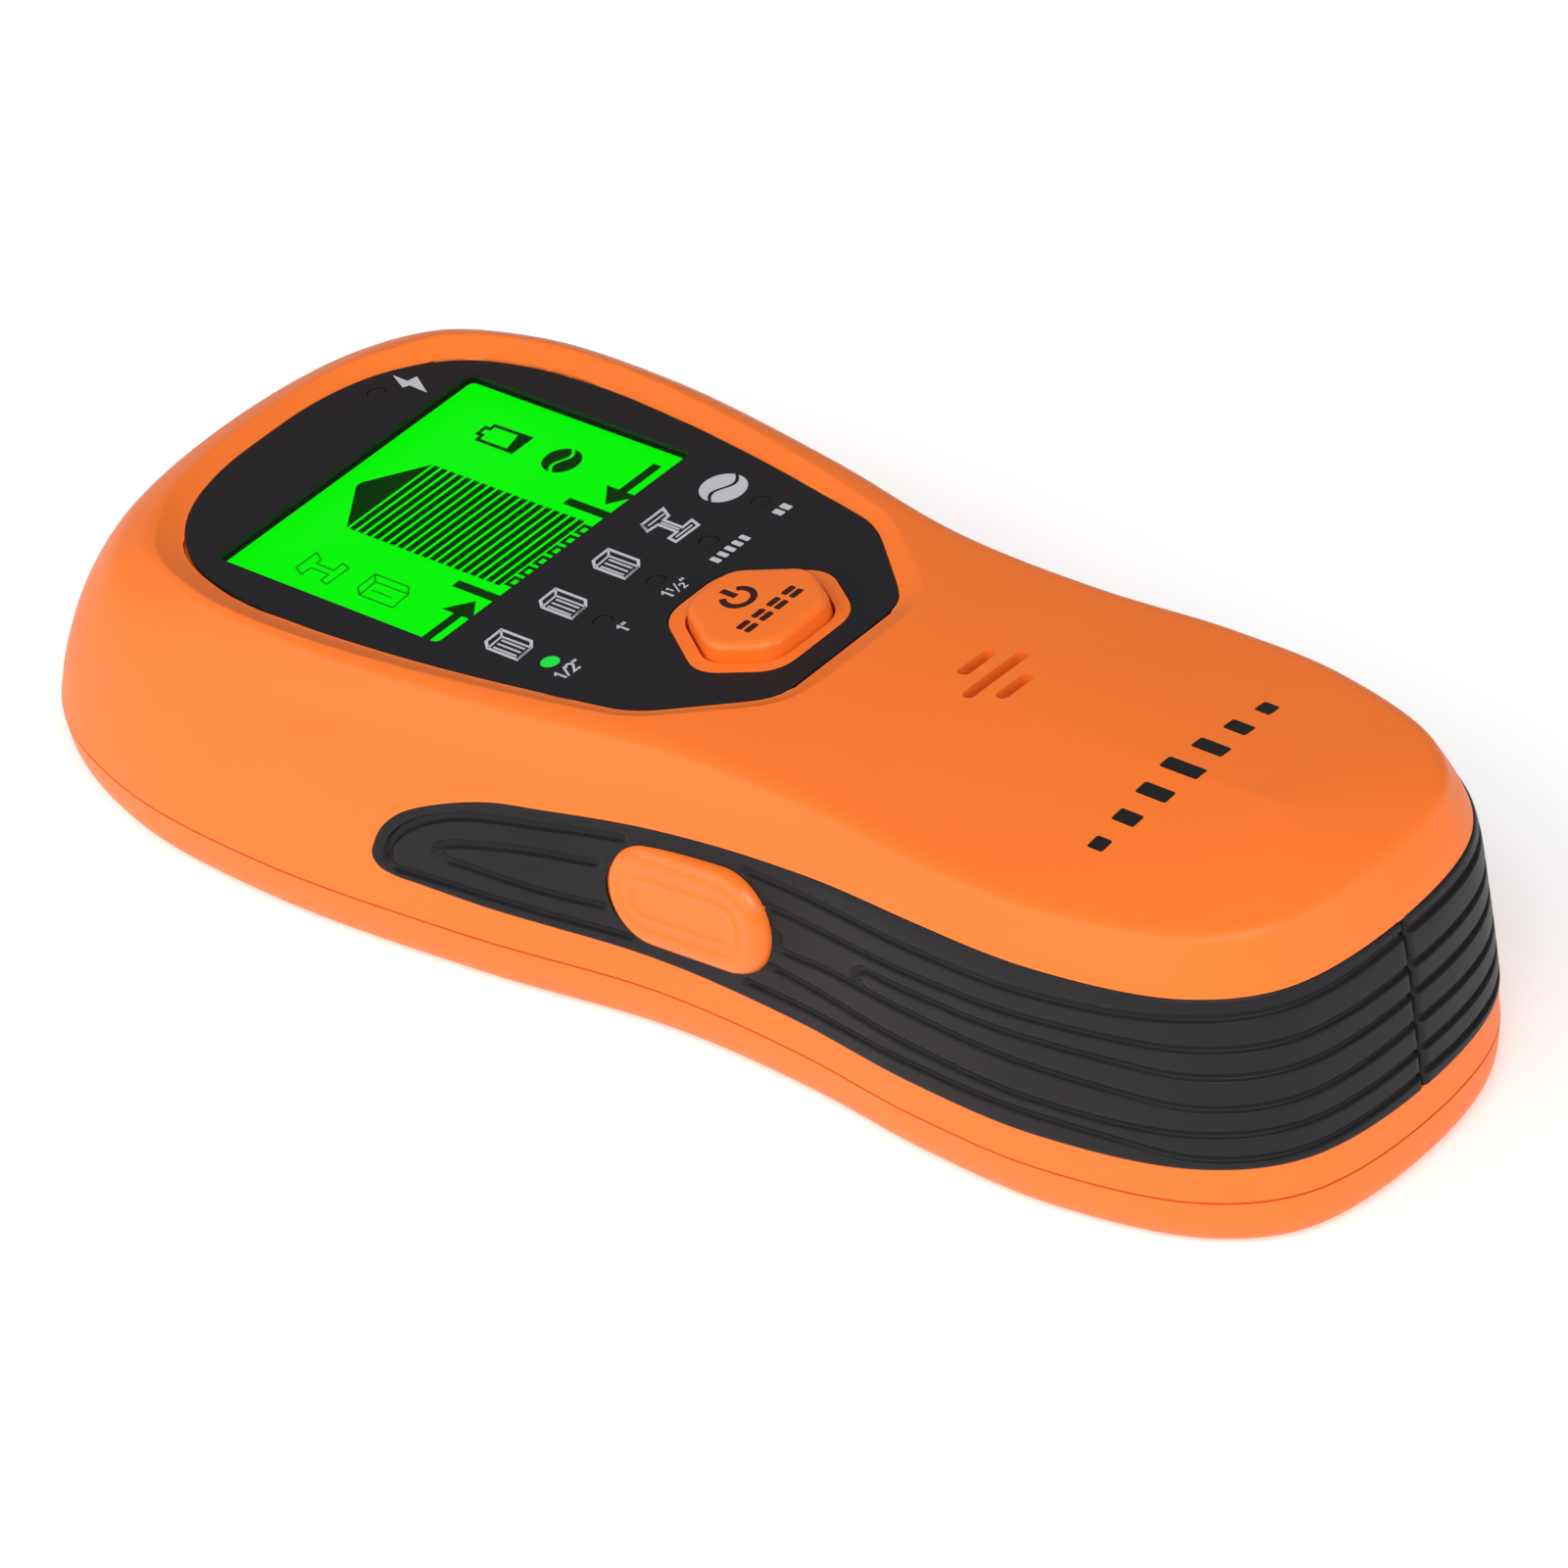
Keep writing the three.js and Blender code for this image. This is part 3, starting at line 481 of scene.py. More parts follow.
PRINT_BROWN = moulded("print_brown", (0.034, 0.0045, 0.003), (0.042, 0.006, 0.004), (0.45, 0.55), 5000,
                      bump=0.08, specular=0.25)
LIT_GREEN = glowing("lcd_green", (0.0, 1.0, 0.0), 1.0, (0.0, 0.95, 0.0))
SEGMENT = glowing("lcd_segment", (0.0, 0.016, 0.0), 1.0, (0.0, 0.030, 0.0))
SEGMENT_FAINT = glowing("lcd_segment_faint", (0.0, 0.13, 0.0), 1.0, (0.0, 0.17, 0.0))
LED_LIT = glowing("led_lit", (0.0, 0.60, 0.03), 1.0, (0.04, 0.85, 0.09))
PIPE_DARK = moulded("light_pipe", (0.0095, 0.008, 0.009), (0.012, 0.01, 0.011), (0.3, 0.4), 3000,
                    bump=0.05, specular=0.25)
WINDOW_CLEAR = clear("window_clear", (0.02, 0.03, 0.02), 0.04)
BLACK = moulded("black_plastic", (0.012, 0.012, 0.013), (0.018, 0.018, 0.019), (0.42, 0.55), 3500,
                bump=0.2, edge=(0.06, 0.06, 0.06))
WHITE = moulded("white_plastic", (0.78, 0.78, 0.75), (0.72, 0.72, 0.68), (0.35, 0.5), 3000, bump=0.12,
                edge=(0.9, 0.9, 0.88))
STEEL = moulded("steel", (0.56, 0.56, 0.58), (0.48, 0.48, 0.50), (0.24, 0.4), 1800, bump=0.2,
                edge=(0.75, 0.75, 0.76), metallic=1.0)
BATTERY = moulded("battery_can", (0.05, 0.06, 0.09), (0.08, 0.09, 0.13), (0.28, 0.42), 1500, bump=0.12,
                  edge=(0.4, 0.4, 0.42), metallic=0.7)
LEAD_RED = moulded("lead_red", (0.45, 0.02, 0.015), (0.38, 0.015, 0.012), (0.4, 0.5), 2500, bump=0.15)
LEAD_BLACK = moulded("lead_black", (0.013, 0.013, 0.014), (0.02, 0.02, 0.02), (0.4, 0.5), 2500, bump=0.15)
FOAM = moulded("foam", (0.035, 0.035, 0.037), (0.06, 0.06, 0.062), (0.85, 0.98), 1400, bump=0.8)


def circuit_board():
    """Green solder mask over a maze of fine tracks."""
    material, tree, shader = new_material("board_green")
    tracks = tree.nodes.new("ShaderNodeTexBrick")
    tracks.inputs["Scale"].default_value = 420
    tracks.inputs["Mortar Size"].default_value = 0.06
    tree.links.new(object_coordinates(tree), tracks.inputs["Vector"])
    mask = colour_mix(tree, noise(tree, 120, 3), (0.010, 0.105, 0.035), (0.014, 0.135, 0.045))
    both = colour_mix(tree, tracks.outputs["Fac"], mask, (0.03, 0.21, 0.075))
    tree.links.new(both, shader.inputs["Base Color"])
    tree.links.new(ramp(tree, noise(tree, 500, 3), 0.25, 0.4), shader.inputs["Roughness"])
    bumps = node(tree, "ShaderNodeBump", Strength=0.4, Distance=0.00004)
    tree.links.new(tracks.outputs["Fac"], bumps.inputs["Height"])
    tree.links.new(bumps.outputs["Normal"], shader.inputs["Normal"])
    return material


BOARD = circuit_board()


def piece(obj, material, body, replaces=()):
    obj.data.materials.clear()
    obj.data.materials.append(material)
    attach(obj, body)
    if replaces:
        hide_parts(*replaces)
    return obj


# ---- the skin

OUTLINE = HALF_OUTLINE + mirrored(HALF_OUTLINE[1:-1])
SKIN_POINTS = 288
PLAN, PLAN_ALONG = closed_curve(OUTLINE, SKIN_POINTS)


def skin_ring(level, deeper=0.0, lower=0.0):
    """A ring round the case at a skin level, drawn in by deeper and let down by lower."""
    z_head, z_tail, in_head, in_tail = level
    share = (PLAN[:, 1] + LENGTH / 2) / LENGTH
    inset = in_tail + (in_head - in_tail) * share + deeper
    z = z_tail + (z_head - z_tail) * share - lower
    return np.column_stack([PLAN[:, 0] + PLAN_ALONG[:, 1] * inset, PLAN[:, 1] - PLAN_ALONG[:, 0] * inset, z])


SIDE_LEVELS = open_curve([SKIN_PARTING, SKIN_LIP, SKIN_BELLY, SKIN_SHOULDER, SKIN_CREASE], 6)


def crown_ring(base, s):
    out = base.copy()
    out[:, 0] *= 1 - s
    out[:, 1] *= 1 - 0.16 * s
    out[:, 2] += (1 - (1 - s) ** 2) * CROWN_RISE
    return out


def upper_skin(name, inset=0.0, lower=0.0, floor=PARTING_Z):
    """The solid under the top face, from floor upwards, drawn in by inset and its top lowered."""
    levels = SIDE_LEVELS[1:-1]
    rings = [skin_ring((floor, floor, 0, 0), inset)]
    for level in levels:
        if level[0] > floor + 0.2:
            rings.append(skin_ring(level, inset))
    crease = skin_ring(SKIN_CREASE, inset, lower)
    below = rings[-1]
    gap = np.linalg.norm(crease - below, axis=1, keepdims=True)
    start = crease + (below - crease) / gap * np.minimum(CREASE_ROUND, gap * 0.9)
    end = crown_ring(crease, 0.07)
    for u in np.linspace(0, 1, 7):
        rings.append((1 - u) ** 2 * start + 2 * u * (1 - u) * crease + u * u * end)
    for s in list(np.linspace(0.1, 0.9, 17)) + [0.96, 1.0]:
        rings.append(crown_ring(crease, s))
    return lofted(name, rings, centre_line=True)


def solid_copy(node_name):
    """A welded copy of a CAD node's mesh."""
    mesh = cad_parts[node_name].data.copy()
    work = bmesh.new()
    work.from_mesh(mesh)
    bmesh.ops.remove_doubles(work, verts=work.verts, dist=1e-7)
    work.to_mesh(mesh)
    work.free()
    obj = bpy.data.objects.new("copy_" + node_name, mesh)
    bpy.context.scene.collection.objects.link(obj)
    return obj


# ---- outlines on the deck


PANEL_RIGHT = [
    (18.1, 0.8), (19.4, 8), (21.3, 20), (22.6, 32), (23.1, 43), (22.4, 52), (19.7, 60), (14, 65.5),
    (7.2, 67.9), (0, 68.3),
]
PANEL_LOWER_RIGHT = [(8.6, -11.6), (10.2, -10.2), (17.3, -1)]


def panel_outline():
    """A spline over the head and straight flanks below it, with their corners smoothed."""
    spline = open_curve(PANEL_RIGHT + mirrored(PANEL_RIGHT)[1:], 10)
    corners = mirrored(PANEL_LOWER_RIGHT + PANEL_RIGHT[:1]) + PANEL_LOWER_RIGHT
    lower = []
    for k in range(len(corners)):
        here = np.array(corners[k])
        ahead = np.array(corners[k + 1]) if k + 1 < len(corners) else spline[0]
        steps = max(1, int(np.linalg.norm(ahead - here)))
        lower.extend(here + (ahead - here) * u for u in np.arange(steps) / steps)
    loop = np.vstack([spline[:-1], lower])
    smooth = loop.copy()
    for _ in range(3):
        smooth = (np.roll(smooth, 1, 0) + 2 * smooth + np.roll(smooth, -1, 0)) / 4
    return smooth


PANEL_LOOP = panel_outline()


def hexagon(scale):
    half = [
        (MODE_OPENING["flat_down"] * scale, MODE_CENTRE - MODE_OPENING["down"] * scale),
        (MODE_OPENING["side"] * scale, MODE_CENTRE),
        (MODE_OPENING["flat_up"] * scale, MODE_CENTRE + MODE_OPENING["up"] * scale),
    ]
    return rounded_polygon(half + mirrored(half), MODE_OPENING["round"] * scale, 10)


def window_loop(margin):
    width, height = WINDOW["width"] + 2 * margin, WINDOW["height"] + 2 * margin
    return rounded_rectangle(width, height, 0.8, 0, WINDOW["centre"])


LED_PLACES = [(k * LED_PITCH, LED_ROW) for k in range(-2, 3)]
LIGHT_PLACES = LED_PLACES + [WARNING_LED]

# ---- front housing


def grip_edges():
    upper = open_curve(GRIP_UPPER_EDGE, 14)
    lower = open_curve(GRIP_LOWER_EDGE, 10, 0.9)
    return upper, lower


def grip_pocket():
    """What the grips fill: their side outline carried across, less the core under them."""
    upper, lower = grip_edges()
    loop = np.vstack([upper, lower[::-1][:-1]])
    loop = offset_loop(loop, -0.15)
    n = len(loop)
    left = np.column_stack([np.full(n, -50.0), loop])
    right = np.column_stack([np.full(n, 50.0), loop])
    tool = lofted("grip_pocket", [left, right])
    return boolean(tool, upper_skin("grip_core", GRIP_THICK - GRIP_PROUD + 0.2, 0), "DIFFERENCE")


PANEL_GAP = 0.14
# How far out from the panel, and how high above the deck.
DISH = [
    (PANEL_GAP, -1.0), (PANEL_GAP, -0.6), (0.45, -0.56), (0.9, -0.4), (1.6, -0.1), (2.6, 0.38), (3.8, 0.95),
    (5.2, 1.65), (7, 2.6), (9, 3.7),
]
SHELL_WALL = 1.3
CORE_INSET = 0.4


def dish():
    """What is cut away above the slope round the panel."""
    return lofted("dish", [level_ring(offset_loop(PANEL_LOOP, reach), z) for reach, z in DISH], DECK)


def speaker_slots():
    slots = []
    for row in (-1, 0, 1):
        loop = stadium(SPEAKER["short" if row else "long"], SPEAKER["wide"], 12)
        loop += (SPEAKER["x"] + row * SPEAKER["shift"], SPEAKER["y"] + row * SPEAKER["pitch"])
        slots.append(prism("slot", loop, -4, 6, DECK))
    return slots


def front_housing():
    shell = upper_skin("front_housing")
    core = upper_skin("core", CORE_INSET, CORE_INSET, PARTING_Z - 0.5)
    inner = boolean(solid_copy("front_housing"), core, "INTERSECT")
    cut(shell, upper_skin("inner_skin", SHELL_WALL, SHELL_WALL, PARTING_Z - 1))
    join(shell, inner)
    collar = prism("collar", hexagon(MODE_COLLAR_SCALE), POCKET_FLOOR - 1, COLLAR_TOP, DECK)
    cut(shell, dish(), prism("pocket", offset_loop(PANEL_LOOP, PANEL_GAP), POCKET_FLOOR, 5, DECK))
    join(shell, collar)
    side_hole = stadium(SIDE_BUTTON["length"] + 0.5, SIDE_BUTTON["width"] + 0.5)
    cut(
        shell,
        prism("mode_hole", hexagon(MODE_HOLE_SCALE), DECK_UNDER - 1, 1, DECK),
        prism("window_hole", window_loop(1), DECK_UNDER - 1, 1, DECK),
        *[prism("pipe", circle(x, y, LED_RADIUS + FIT), DECK_UNDER - 1, 1, DECK) for x, y in LIGHT_PLACES],
        *speaker_slots(),
        grip_pocket(),
        prism("side_hole", side_hole, FLANGE_TOP, 6, SIDE),
    )
    shade(shell, 30)
    shaded_like(weighted_normals(shell), upper_skin("skin_for_shading"))
    return piece(shell, ORANGE, "case", ["front_housing"])


front_housing()

# ---- rear cover

COVER_WALL = 2.0
COVER_CORE_LOW = 0.35
COVER_FLOOR = 1.9
DOOR_GAP = 0.5
SCREW_SEAT = {"radius": 2.9, "depth": 2.9}
FLAT = 1e-6


def door_outline(wider, longer, radius):
    head, tail = DOOR["head"], DOOR["tail"]
    return rounded_rectangle(2 * DOOR["half"] + wider, head - tail + longer, radius, 0, (head + tail) / 2)


def lower_skin(name):
    seam = PARTING_Z - FIT
    levels = open_curve([SKIN_BOTTOM, SKIN_BOTTOM_EDGE, SKIN_BOTTOM_SIDE, (seam, seam, 0, 0)], 5)
    levels[:, :2] = np.maximum(levels[:, :2], 0)
    return lofted(name, [skin_ring(level) for level in levels])


def rear_cover():
    shell = lower_skin("rear_cover")
    core = prism("core", offset_loop(PLAN[::-1], -COVER_WALL), COVER_CORE_LOW, PARTING_Z + 30)
    inner = boolean(solid_copy("rear_cover"), core, "INTERSECT")
    hollow = prism("hollow", offset_loop(PLAN[::-1], -COVER_WALL - 0.2), COVER_FLOOR, PARTING_Z + 2)
    cut(shell, hollow)
    join(shell, inner)
    cut(shell, prism("door_hole", door_outline(DOOR_GAP, DOOR_GAP, 1.0), -1, DOOR["thick"] + 0.25))
    for x, y in CASE_SCREWS:
        cut(shell, prism("seat", circle(x, y, SCREW_SEAT["radius"]), -1, SCREW_SEAT["depth"]))
    shade(shell, 30)
    for edge in shell.data.edges:
        if all(shell.data.vertices[v].co.z < FLAT for v in edge.vertices):
            edge.use_edge_sharp = True
    weighted_normals(shell)
    return piece(shell, ORANGE, "case", ["rear_cover"])


rear_cover()

# ---- grips

SEAM_HALF = 0.06
GROOVE_HALF = 0.6
GROOVE_FLOOR = 0.3
GROOVE_DEEP = 0.55
# Grooves on the left grip: place along the handle, and height.
LEAF_OUTER_HIGH = [
    (-5.4, 22.5), (2.3, 21.4), (11.7, 19.9), (15.5, 18.6), (18.8, 16.7), (20.8, 14.6), (21.2, 13.1),
]
LEAF_OUTER_LOW = [(20.7, 12.0), (18.3, 11.9), (12.9, 12.0), (1.6, 11.9), (-6.4, 12.0)]
LEAF_INNER_HIGH = [(-2.5, 19), (6.6, 18), (14, 16.3), (15.3, 15.5)]
LEAF_INNER_LOW = [(14.5, 14.7), (12, 14.6), (1.7, 14.3), (-3.3, 14.6)]
LINE_1 = [(-20.3, 24.6), (-30.6, 25.3), (-59.4, 27.2), (-73.4, 28.4), (-99, 29.5)]
LINE_2 = [(-23.4, 22), (-30.7, 22.4), (-63.8, 24.7), (-73.4, 24.9), (-99, 25.5)]
LINE_U = [(-36, 20.9), (-38.6, 21), (-63.8, 22.1), (-73.3, 21.7), (-99, 22.3)]
LINE_U_TURN = [(-36, 20.9), (-35, 19.8), (-36, 18.8)]
LINE_3 = [
    (-24.5, 19.5), (-24.7, 18.1), (-30.8, 18.4), (-38.2, 18.7), (-63.7, 18.7), (-73.3, 18.0), (-99, 18.9),
]
LINE_4 = [(-23.9, 15.5), (-30.9, 15.3), (-38.2, 15.1), (-73.3, 14.9), (-99, 15.5)]
LINE_5 = [(-20.8, 12.4), (-31, 12.6), (-63.6, 13), (-73.3, 12), (-99, 12.6)]
LEFT_LINES = [
    LEAF_OUTER_HIGH + LEAF_OUTER_LOW, LEAF_INNER_HIGH + LEAF_INNER_LOW,
    LINE_1, LINE_2, LINE_U, LINE_U_TURN, LINE_3, LINE_4, LINE_5,
]
# The right side has no button, so the leaf's lines run on into the handle's.
RIGHT_LINES = [
    LINE_1[::-1] + LEAF_OUTER_HIGH + LEAF_OUTER_LOW + LINE_5,
    LINE_3[1:][::-1] + LEAF_INNER_HIGH + LEAF_INNER_LOW + LINE_4,
    LINE_2, LINE_U, LINE_U_TURN,
]


def side_button_hole():
    """The rubber's hole, which follows the button's wall and closes in over its rounded edge."""
    length, width = SIDE_BUTTON["length"] + 2 * LIP_GAP, SIDE_BUTTON["width"] + 2 * LIP_GAP
    wall = side_round(LIP_TURN)
    profile = [(0, FLANGE_TOP)] + wall + [(wall[-1][0], 6)]
    rings = [level_ring(stadium(length - 2 * inset, width - 2 * inset), z) for inset, z in profile]
    return lofted("side_hole", rings, SIDE)


def grip(name, side, lines):
    plan, along = closed_curve(OUTLINE, 7200)
    keep = [i for i in range(3601) if plan[i, 1] <= GRIP_UPPER_EDGE[0][0]]
    plan, along = plan[keep], along[keep]
    arc = np.concatenate([[0], np.cumsum(np.linalg.norm(np.diff(plan, axis=0), axis=1))])
    end = np.interp(-SEAM_HALF, -plan[:, 0], arc)
    nose = 4 * (1 - np.cos(np.linspace(0, math.pi / 2, 26)))
    columns = np.concatenate([nose, np.arange(nose[-1] + 0.42, end - 0.2, 0.42), [end]])
    px, py = np.interp(columns, arc, plan[:, 0]), np.interp(columns, arc, plan[:, 1])
    ax, ay = np.interp(columns, arc, along[:, 0]), np.interp(columns, arc, along[:, 1])
    share = (py + LENGTH / 2) / LENGTH
    upper, lower = grip_edges()
    order_u, order_l = np.argsort(upper[:, 0]), np.argsort(lower[:, 0])
    levels = np.array(SIDE_LEVELS)
    z_table = levels[None, :, 1] + (levels[None, :, 0] - levels[None, :, 1]) * share[:, None]
    in_table = levels[None, :, 3] + (levels[None, :, 2] - levels[None, :, 3]) * share[:, None]

    def inset_at(column, z):
        return np.interp(z, z_table[column], in_table[column])

    rows = np.linspace(0, 1, 220)
    count, height = len(columns), len(rows)
    z_grid = np.zeros((count, height))
    edge = np.zeros((count, height))
    for c in range(count):
        y_up = y_low = py[c]
        for _ in range(4):
            z_up = np.interp(y_up, upper[order_u, 0], upper[order_u, 1])
            z_low = np.interp(y_low, lower[order_l, 0], lower[order_l, 1])
            y_up = py[c] - ax[c] * inset_at(c, z_up)
            y_low = py[c] - ax[c] * inset_at(c, z_low)
        z_grid[c] = z_low + (z_up - z_low) * rows
        edge[c] = np.minimum(np.minimum(rows, 1 - rows) * (z_up - z_low), end - columns[c])
        if c < 30:
            edge[c] = np.minimum(edge[c], columns[c] * 0.8)
    seam_arc = end + SEAM_HALF
    tree = kdtree.KDTree(60000)
    total = 0
    for line in lines:
        track = [(np.interp(-y, -plan[:, 1], arc) if y > -81 else seam_arc + 0.5, z) for y, z in line]
        fine = open_curve(track, 24)
        steps = np.linalg.norm(np.diff(fine, axis=0), axis=1)
        run = np.concatenate([[0], np.cumsum(steps)])
        for s in np.arange(0, run[-1], 0.12):
            tree.insert((np.interp(s, run, fine[:, 0]), np.interp(s, run, fine[:, 1]), 0), total)
            total += 1
    tree.balance()
    round_edge = 0.55
    outer = np.zeros((count, height, 3))
    for c in range(count):
        surface = inset_at(c, z_grid[c]) - GRIP_PROUD
        deep = np.zeros(height)
        for r in range(height):
            gap = tree.find((columns[c], z_grid[c, r], 0))[2]
            if gap < GROOVE_HALF:
                share_in = min(1, (GROOVE_HALF - gap) / (GROOVE_HALF - GROOVE_FLOOR))
                deep[r] = GROOVE_DEEP * share_in * share_in * (3 - 2 * share_in)
        near = np.clip(edge[c], 0, round_edge)
        deep += round_edge - np.sqrt(round_edge**2 - (round_edge - near) ** 2)
        inset = surface + deep
        outer[c] = np.column_stack([px[c] + ay[c] * inset, py[c] - ax[c] * inset, z_grid[c]])
    backs = 7
    back_rows = np.linspace(0, 1, backs)
    back = np.zeros((count, backs, 3))
    for c in range(count):
        z = z_grid[c, 0] + (z_grid[c, -1] - z_grid[c, 0]) * back_rows
        inset = inset_at(c, z) + GRIP_THICK - GRIP_PROUD
        back[c] = np.column_stack([px[c] + ay[c] * inset, py[c] - ax[c] * inset, z])
    tip = np.argmax(np.ptp(z_grid, axis=1) > 0) - 1
    outer, back, count = outer[tip:], back[tip:], count - tip
    points = np.vstack([outer.reshape(-1, 3), back.reshape(-1, 3)])
    points[:, 0] *= side
    first, top = count * height, height - 1
    at = lambda c, r: c * height + r
    behind = lambda c, r: first + c * backs + r
    faces = []
    for c in range(count - 1):
        for r in range(height - 1):
            faces.append((at(c, r), at(c + 1, r), at(c + 1, r + 1), at(c, r + 1)))
        for r in range(backs - 1):
            faces.append((behind(c, r), behind(c, r + 1), behind(c + 1, r + 1), behind(c + 1, r)))
        faces.append((at(c, 0), behind(c, 0), behind(c + 1, 0), at(c + 1, 0)))
        faces.append((at(c, top), at(c + 1, top), behind(c + 1, backs - 1), behind(c, backs - 1)))
    for c in (0, count - 1):
        faces.append([at(c, r) for r in range(height)] + [behind(c, r) for r in range(backs - 1, -1, -1)])
    body = mesh_object(name, points, faces, weld=5e-8)
    if side < 0:
        cut(body, side_button_hole())
    shade(body, 60)
    return piece(body, RUBBER, "case", [name])


grip("grip_left", -1, LEFT_LINES)
grip("grip_right", 1, RIGHT_LINES)

# ---- face panel, window and display


def display_panel():
    body = prism("display_panel", PANEL_LOOP, PANEL_BOTTOM, PANEL_TOP, DECK)
    cut(
        body,
        prism("window", window_loop(0), PANEL_BOTTOM - 1, 1, DECK),
        prism("opening", hexagon(1), PANEL_BOTTOM - 1, 1, DECK),
        *[prism("pipe", circle(x, y, LED_RADIUS + 0.04), PANEL_BOTTOM - 1, 1, DECK) for x, y in LIGHT_PLACES],
    )
    shade(body, 30)
    return piece(body, PANEL, "case", ["display_panel"])


display_panel()
window = prism("display_window", window_loop(-FIT), PANEL_BOTTOM, PANEL_BOTTOM + 0.3, DECK)
piece(shade(rounded_edges(window, 0.05)), WINDOW_CLEAR, "case", ["display_window"])
glass = prism("lcd_glass", window_loop(0.7), POCKET_FLOOR - 2.2, LCD_TOP, DECK)
piece(shade(rounded_edges(glass, 0.05)), LIT_GREEN, "case", ["lcd_glass"])


def display_mask():
    """A black gasket between the display and the panel."""
    body = prism("display_mask", window_loop(0.65), LCD_TOP + 0.01, PANEL_BOTTOM - 0.01, DECK)
    cut(body, prism("opening", window_loop(0.02), LCD_TOP - 1, 1, DECK))
    return piece(shade(body), MASK_BLACK, "case")


display_mask()

# ---- flat marks


def slab(name, polygons, z0, z1, shift=(0, 0)):
    """Thin flat shapes, each a loop of points."""
    made = [prism(name, np.array(loop) + shift, z0, z1, DECK) for loop in polygons]
    return joined_objects(name, made)


def stroke(points, width):
    """A line of some width as a loop, with square ends and mitred corners."""
    p = np.array(points, float)
    ahead = np.diff(p, axis=0)
    ahead /= np.linalg.norm(ahead, axis=1, keepdims=True)
    normals = np.column_stack([-ahead[:, 1], ahead[:, 0]])
    first, last = normals[:1], normals[-1:]
    if len(p) > 2:
        middle = normals[:-1] + normals[1:]
        middle /= np.maximum((middle**2).sum(1, keepdims=True) / 2, 0.4)
        normals = np.vstack([first, middle, last])
    else:
        normals = np.vstack([first, last])
    return np.vstack([p + normals * width / 2, (p - normals * width / 2)[::-1]])


def strokes(lines, width):
    return [stroke(line, width) for line in lines]


def shifted(lines, x, y):
    return [[(a + x, b + y) for a, b in line] for line in lines]


def arc_line(x, y, radius, start, end, steps=28):
    a = np.radians(np.linspace(start, end, steps))
    return [(x + radius * math.cos(t), y + radius * math.sin(t)) for t in a]


def ring_half(x, y, radius, wave, side):
    """Half of a disc on one side of a wavy line through its middle, for the sign of alternating current."""
    cos, sin = math.cos(math.radians(8)), math.sin(math.radians(8))
    line = []
    for u in np.linspace(-1, 1, 31):
        a = u * radius * 0.985
        b = -wave * math.sin(u * math.pi) + side * 0.22
        line.append((x + a * cos - b * sin, y + a * sin + b * cos))
    turn = (10, 170) if side > 0 else (-170, -10)
    rim = arc_line(x, y, radius, turn[0] + 4, turn[1] + 10, 30)
    return line + rim if side > 0 else line[::-1] + rim


# Drawn icons, in millimetres about their own middles.
BOX_RIM = [
    (-1.65, -2.75), (0.75, -2.55), (1.65, -1.7), (1.65, 2.8), (-0.8, 2.75), (-1.65, 1.7), (-1.65, -2.75),
]
BOX_INNER = [[(-1.65, 1.7), (0.7, 1.85), (1.65, 2.8)], [(0.7, 1.85), (0.75, -2.55)]]
BOX_GRAIN = [[(-1.2, -2.2), (-1.2, 1.25)], [(-0.5, -2.15), (-0.5, 1.3)], [(0.2, -2.1), (0.2, 1.35)]]
BEAM_RIM = [
    (-1.9, 1.25), (-1.3, 2.6), (1.85, 2.6), (1.15, 1.2), (0.35, 1.15), (0.3, -1.5), (1.75, -1.45),
    (1.4, -2.7), (-1.9, -2.65), (-1.75, -1.55), (-0.55, -1.55), (-0.5, 1.1), (-1.9, 1.25), (-1.3, 2.6),
]
BEAM_INNER = [[(-1.15, 1.85), (1.2, 1.85)], [(-0.1, 1.1), (-0.12, -1.5)], [(-1.3, -2.1), (1.1, -2.1)]]
ICON_ROW = 18.85
ICON_SIZE = 0.92
ICON_COLUMNS = [-15.4, -7.5, 0.25]
BEAM_PLACE = (7.95, 18.75)
WAVE_PLACE = (15.5, 18.3)
BOLT = [(14.45, 64.1), (14.4, 61.9), (15.5, 61.6), (13.8, 58.5), (13.9, 61.15), (13.25, 61.5)]
LABEL_ROW = 10.5
DIGIT_ONE = [[(-0.32, 0.42), (0.0, 0.75), (0.0, -0.75)]]
DIGIT_TWO = [
    [(-0.42, 0.38), (-0.25, 0.68), (0.1, 0.75), (0.38, 0.5), (0.33, 0.15), (-0.42, -0.72), (0.45, -0.72)],
]
SLASH = [[(-0.42, -0.8), (0.42, 0.8)]]
INCH = [[(-0.14, 0.75), (-0.14, 0.35)], [(0.16, 0.75), (0.16, 0.35)]]


def scaled(lines, size):
    return [[(a * size, b * size) for a, b in line] for line in lines]


